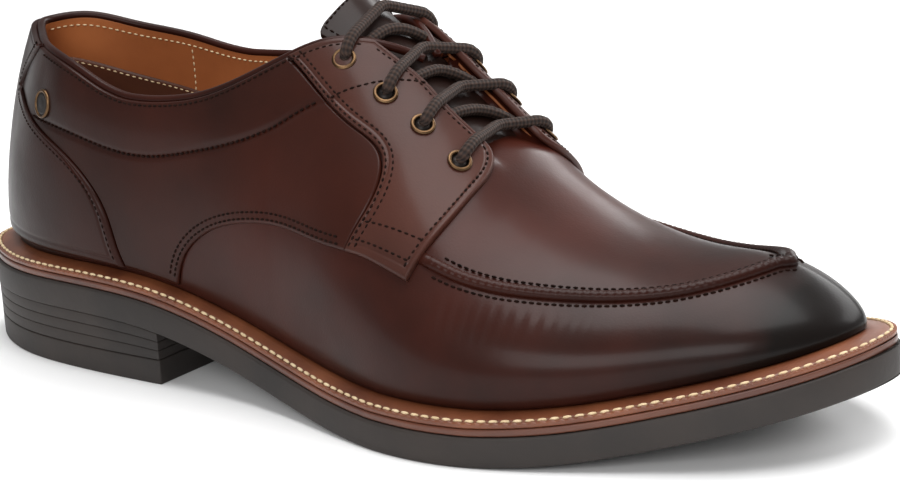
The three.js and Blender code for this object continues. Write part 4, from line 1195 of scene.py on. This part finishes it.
HEEL_TURN = float(np.arccos(1 - 2 * 93.5 / LENGTH) / np.pi)
TOP_PIECE = 7.4
layer("outsole_slab", .05, above_sole(0), above_sole(OUTSOLE - .1), sole_rubber, "sole_rubber",
      ["outsole"], radius=.8)
layer("midsole_slab", .8, above_sole(OUTSOLE), above_sole(OUTSOLE + 2.0), edge_leather, "welt_leather",
      ["midsole"], radius=.5)
layer("heel_top_lift", .55, lambda x: x * 0, lambda x: x * 0 + TOP_PIECE, sole_rubber, "sole_rubber",
      ["heel_top_piece"], HEEL_TURN, .5, 110)
LIFT_SHARES = (0, .34, .67, 1)
for number, (low, high) in enumerate(pairwise(LIFT_SHARES), 1):
    def lift(share):
        return lambda x: TOP_PIECE + .1 + (sole_bottom(x) - .1 - TOP_PIECE) * share
    replaced = ["heel_block"] if number == 1 else ()
    layer(f"heel_lift_{number}", .6, lift(low), lift(high), sole_rubber, "sole_rubber", replaced,
          HEEL_TURN, .3, 110)

# %% [markdown]
# ## Camera, floor and light
# A product picture like this one stands on white, under a wide soft light from above, with a long
# strip behind and a weaker light in front. Large area lights matter here: the polish mirrors them
# as the long pale sheen over the vamp. The camera stands low at the shoe's outer side.

# %% Place the camera
AZIMUTH, ELEVATION, ROLL = (math.radians(angle) for angle in (35.8, 14.85, -4.03))
DISTANCE = .6641
level = math.cos(ELEVATION)
back_way = Vector((math.sin(AZIMUTH) * level, -math.cos(AZIMUTH) * level, math.sin(ELEVATION)))
right_way = Vector((math.cos(AZIMUTH), math.sin(AZIMUTH), 0))
up_way = back_way.cross(right_way)
aim = Vector(to_frame(np.array([150.0, 0, 45.0]))) + right_way * .01808 - up_way * .00923
rolled_right = right_way * math.cos(ROLL) + up_way * math.sin(ROLL)
rolled_up = up_way * math.cos(ROLL) - right_way * math.sin(ROLL)
camera_data = bpy.data.cameras.new("camera")
camera_data.lens = 94.36
camera_data.sensor_width = 36
camera = bpy.data.objects.new("camera", camera_data)
camera.matrix_world = Matrix.Translation(aim + back_way * DISTANCE) @ Matrix(
    (rolled_right, rolled_up, back_way)).transposed().to_4x4()
bpy.context.collection.objects.link(camera)
bpy.context.scene.camera = camera

# %% Floor, lights and world
floor_mesh = bmesh.new()
bmesh.ops.create_grid(floor_mesh, x_segments=1, y_segments=1, size=6)
floor_data = bpy.data.meshes.new("studio_floor")
floor_mesh.to_mesh(floor_data)
floor_mesh.free()
floor = bpy.data.objects.new("studio_floor", floor_data)
bpy.context.collection.objects.link(floor)
floor_data.materials.append(plain("studio_white", grey(.92), grey(.93), .9, 2, 0))


def area_light(name, place, target, size, power):
    data = bpy.data.lights.new(name, 'AREA')
    data.shape = 'RECTANGLE'
    data.size, data.size_y = size
    data.energy = power
    light = bpy.data.objects.new(name, data)
    light.location = place
    light.rotation_euler = (Vector(target) - Vector(place)).to_track_quat('-Z', 'Y').to_euler()
    bpy.context.collection.objects.link(light)


area_light("overhead", (.05, .1, 1.2), (0, 0, 0), (1.3, .8), 17)
area_light("back_strip", (.35, .9, .55), (0, 0, .05), (1.4, .4), 9)
area_light("front_fill", (.5, -1.2, .7), (0, 0, .04), (.9, .6), 8)
world = bpy.data.worlds.new("studio_world")
world.use_nodes = True
world.node_tree.nodes["Background"].inputs["Color"].default_value = (1, 1, 1, 1)
world.node_tree.nodes["Background"].inputs["Strength"].default_value = .38
bpy.context.scene.world = world
bpy.context.scene.view_settings.view_transform = 'Standard'
print("lights placed, camera", [round(value, 3) for value in camera.location])
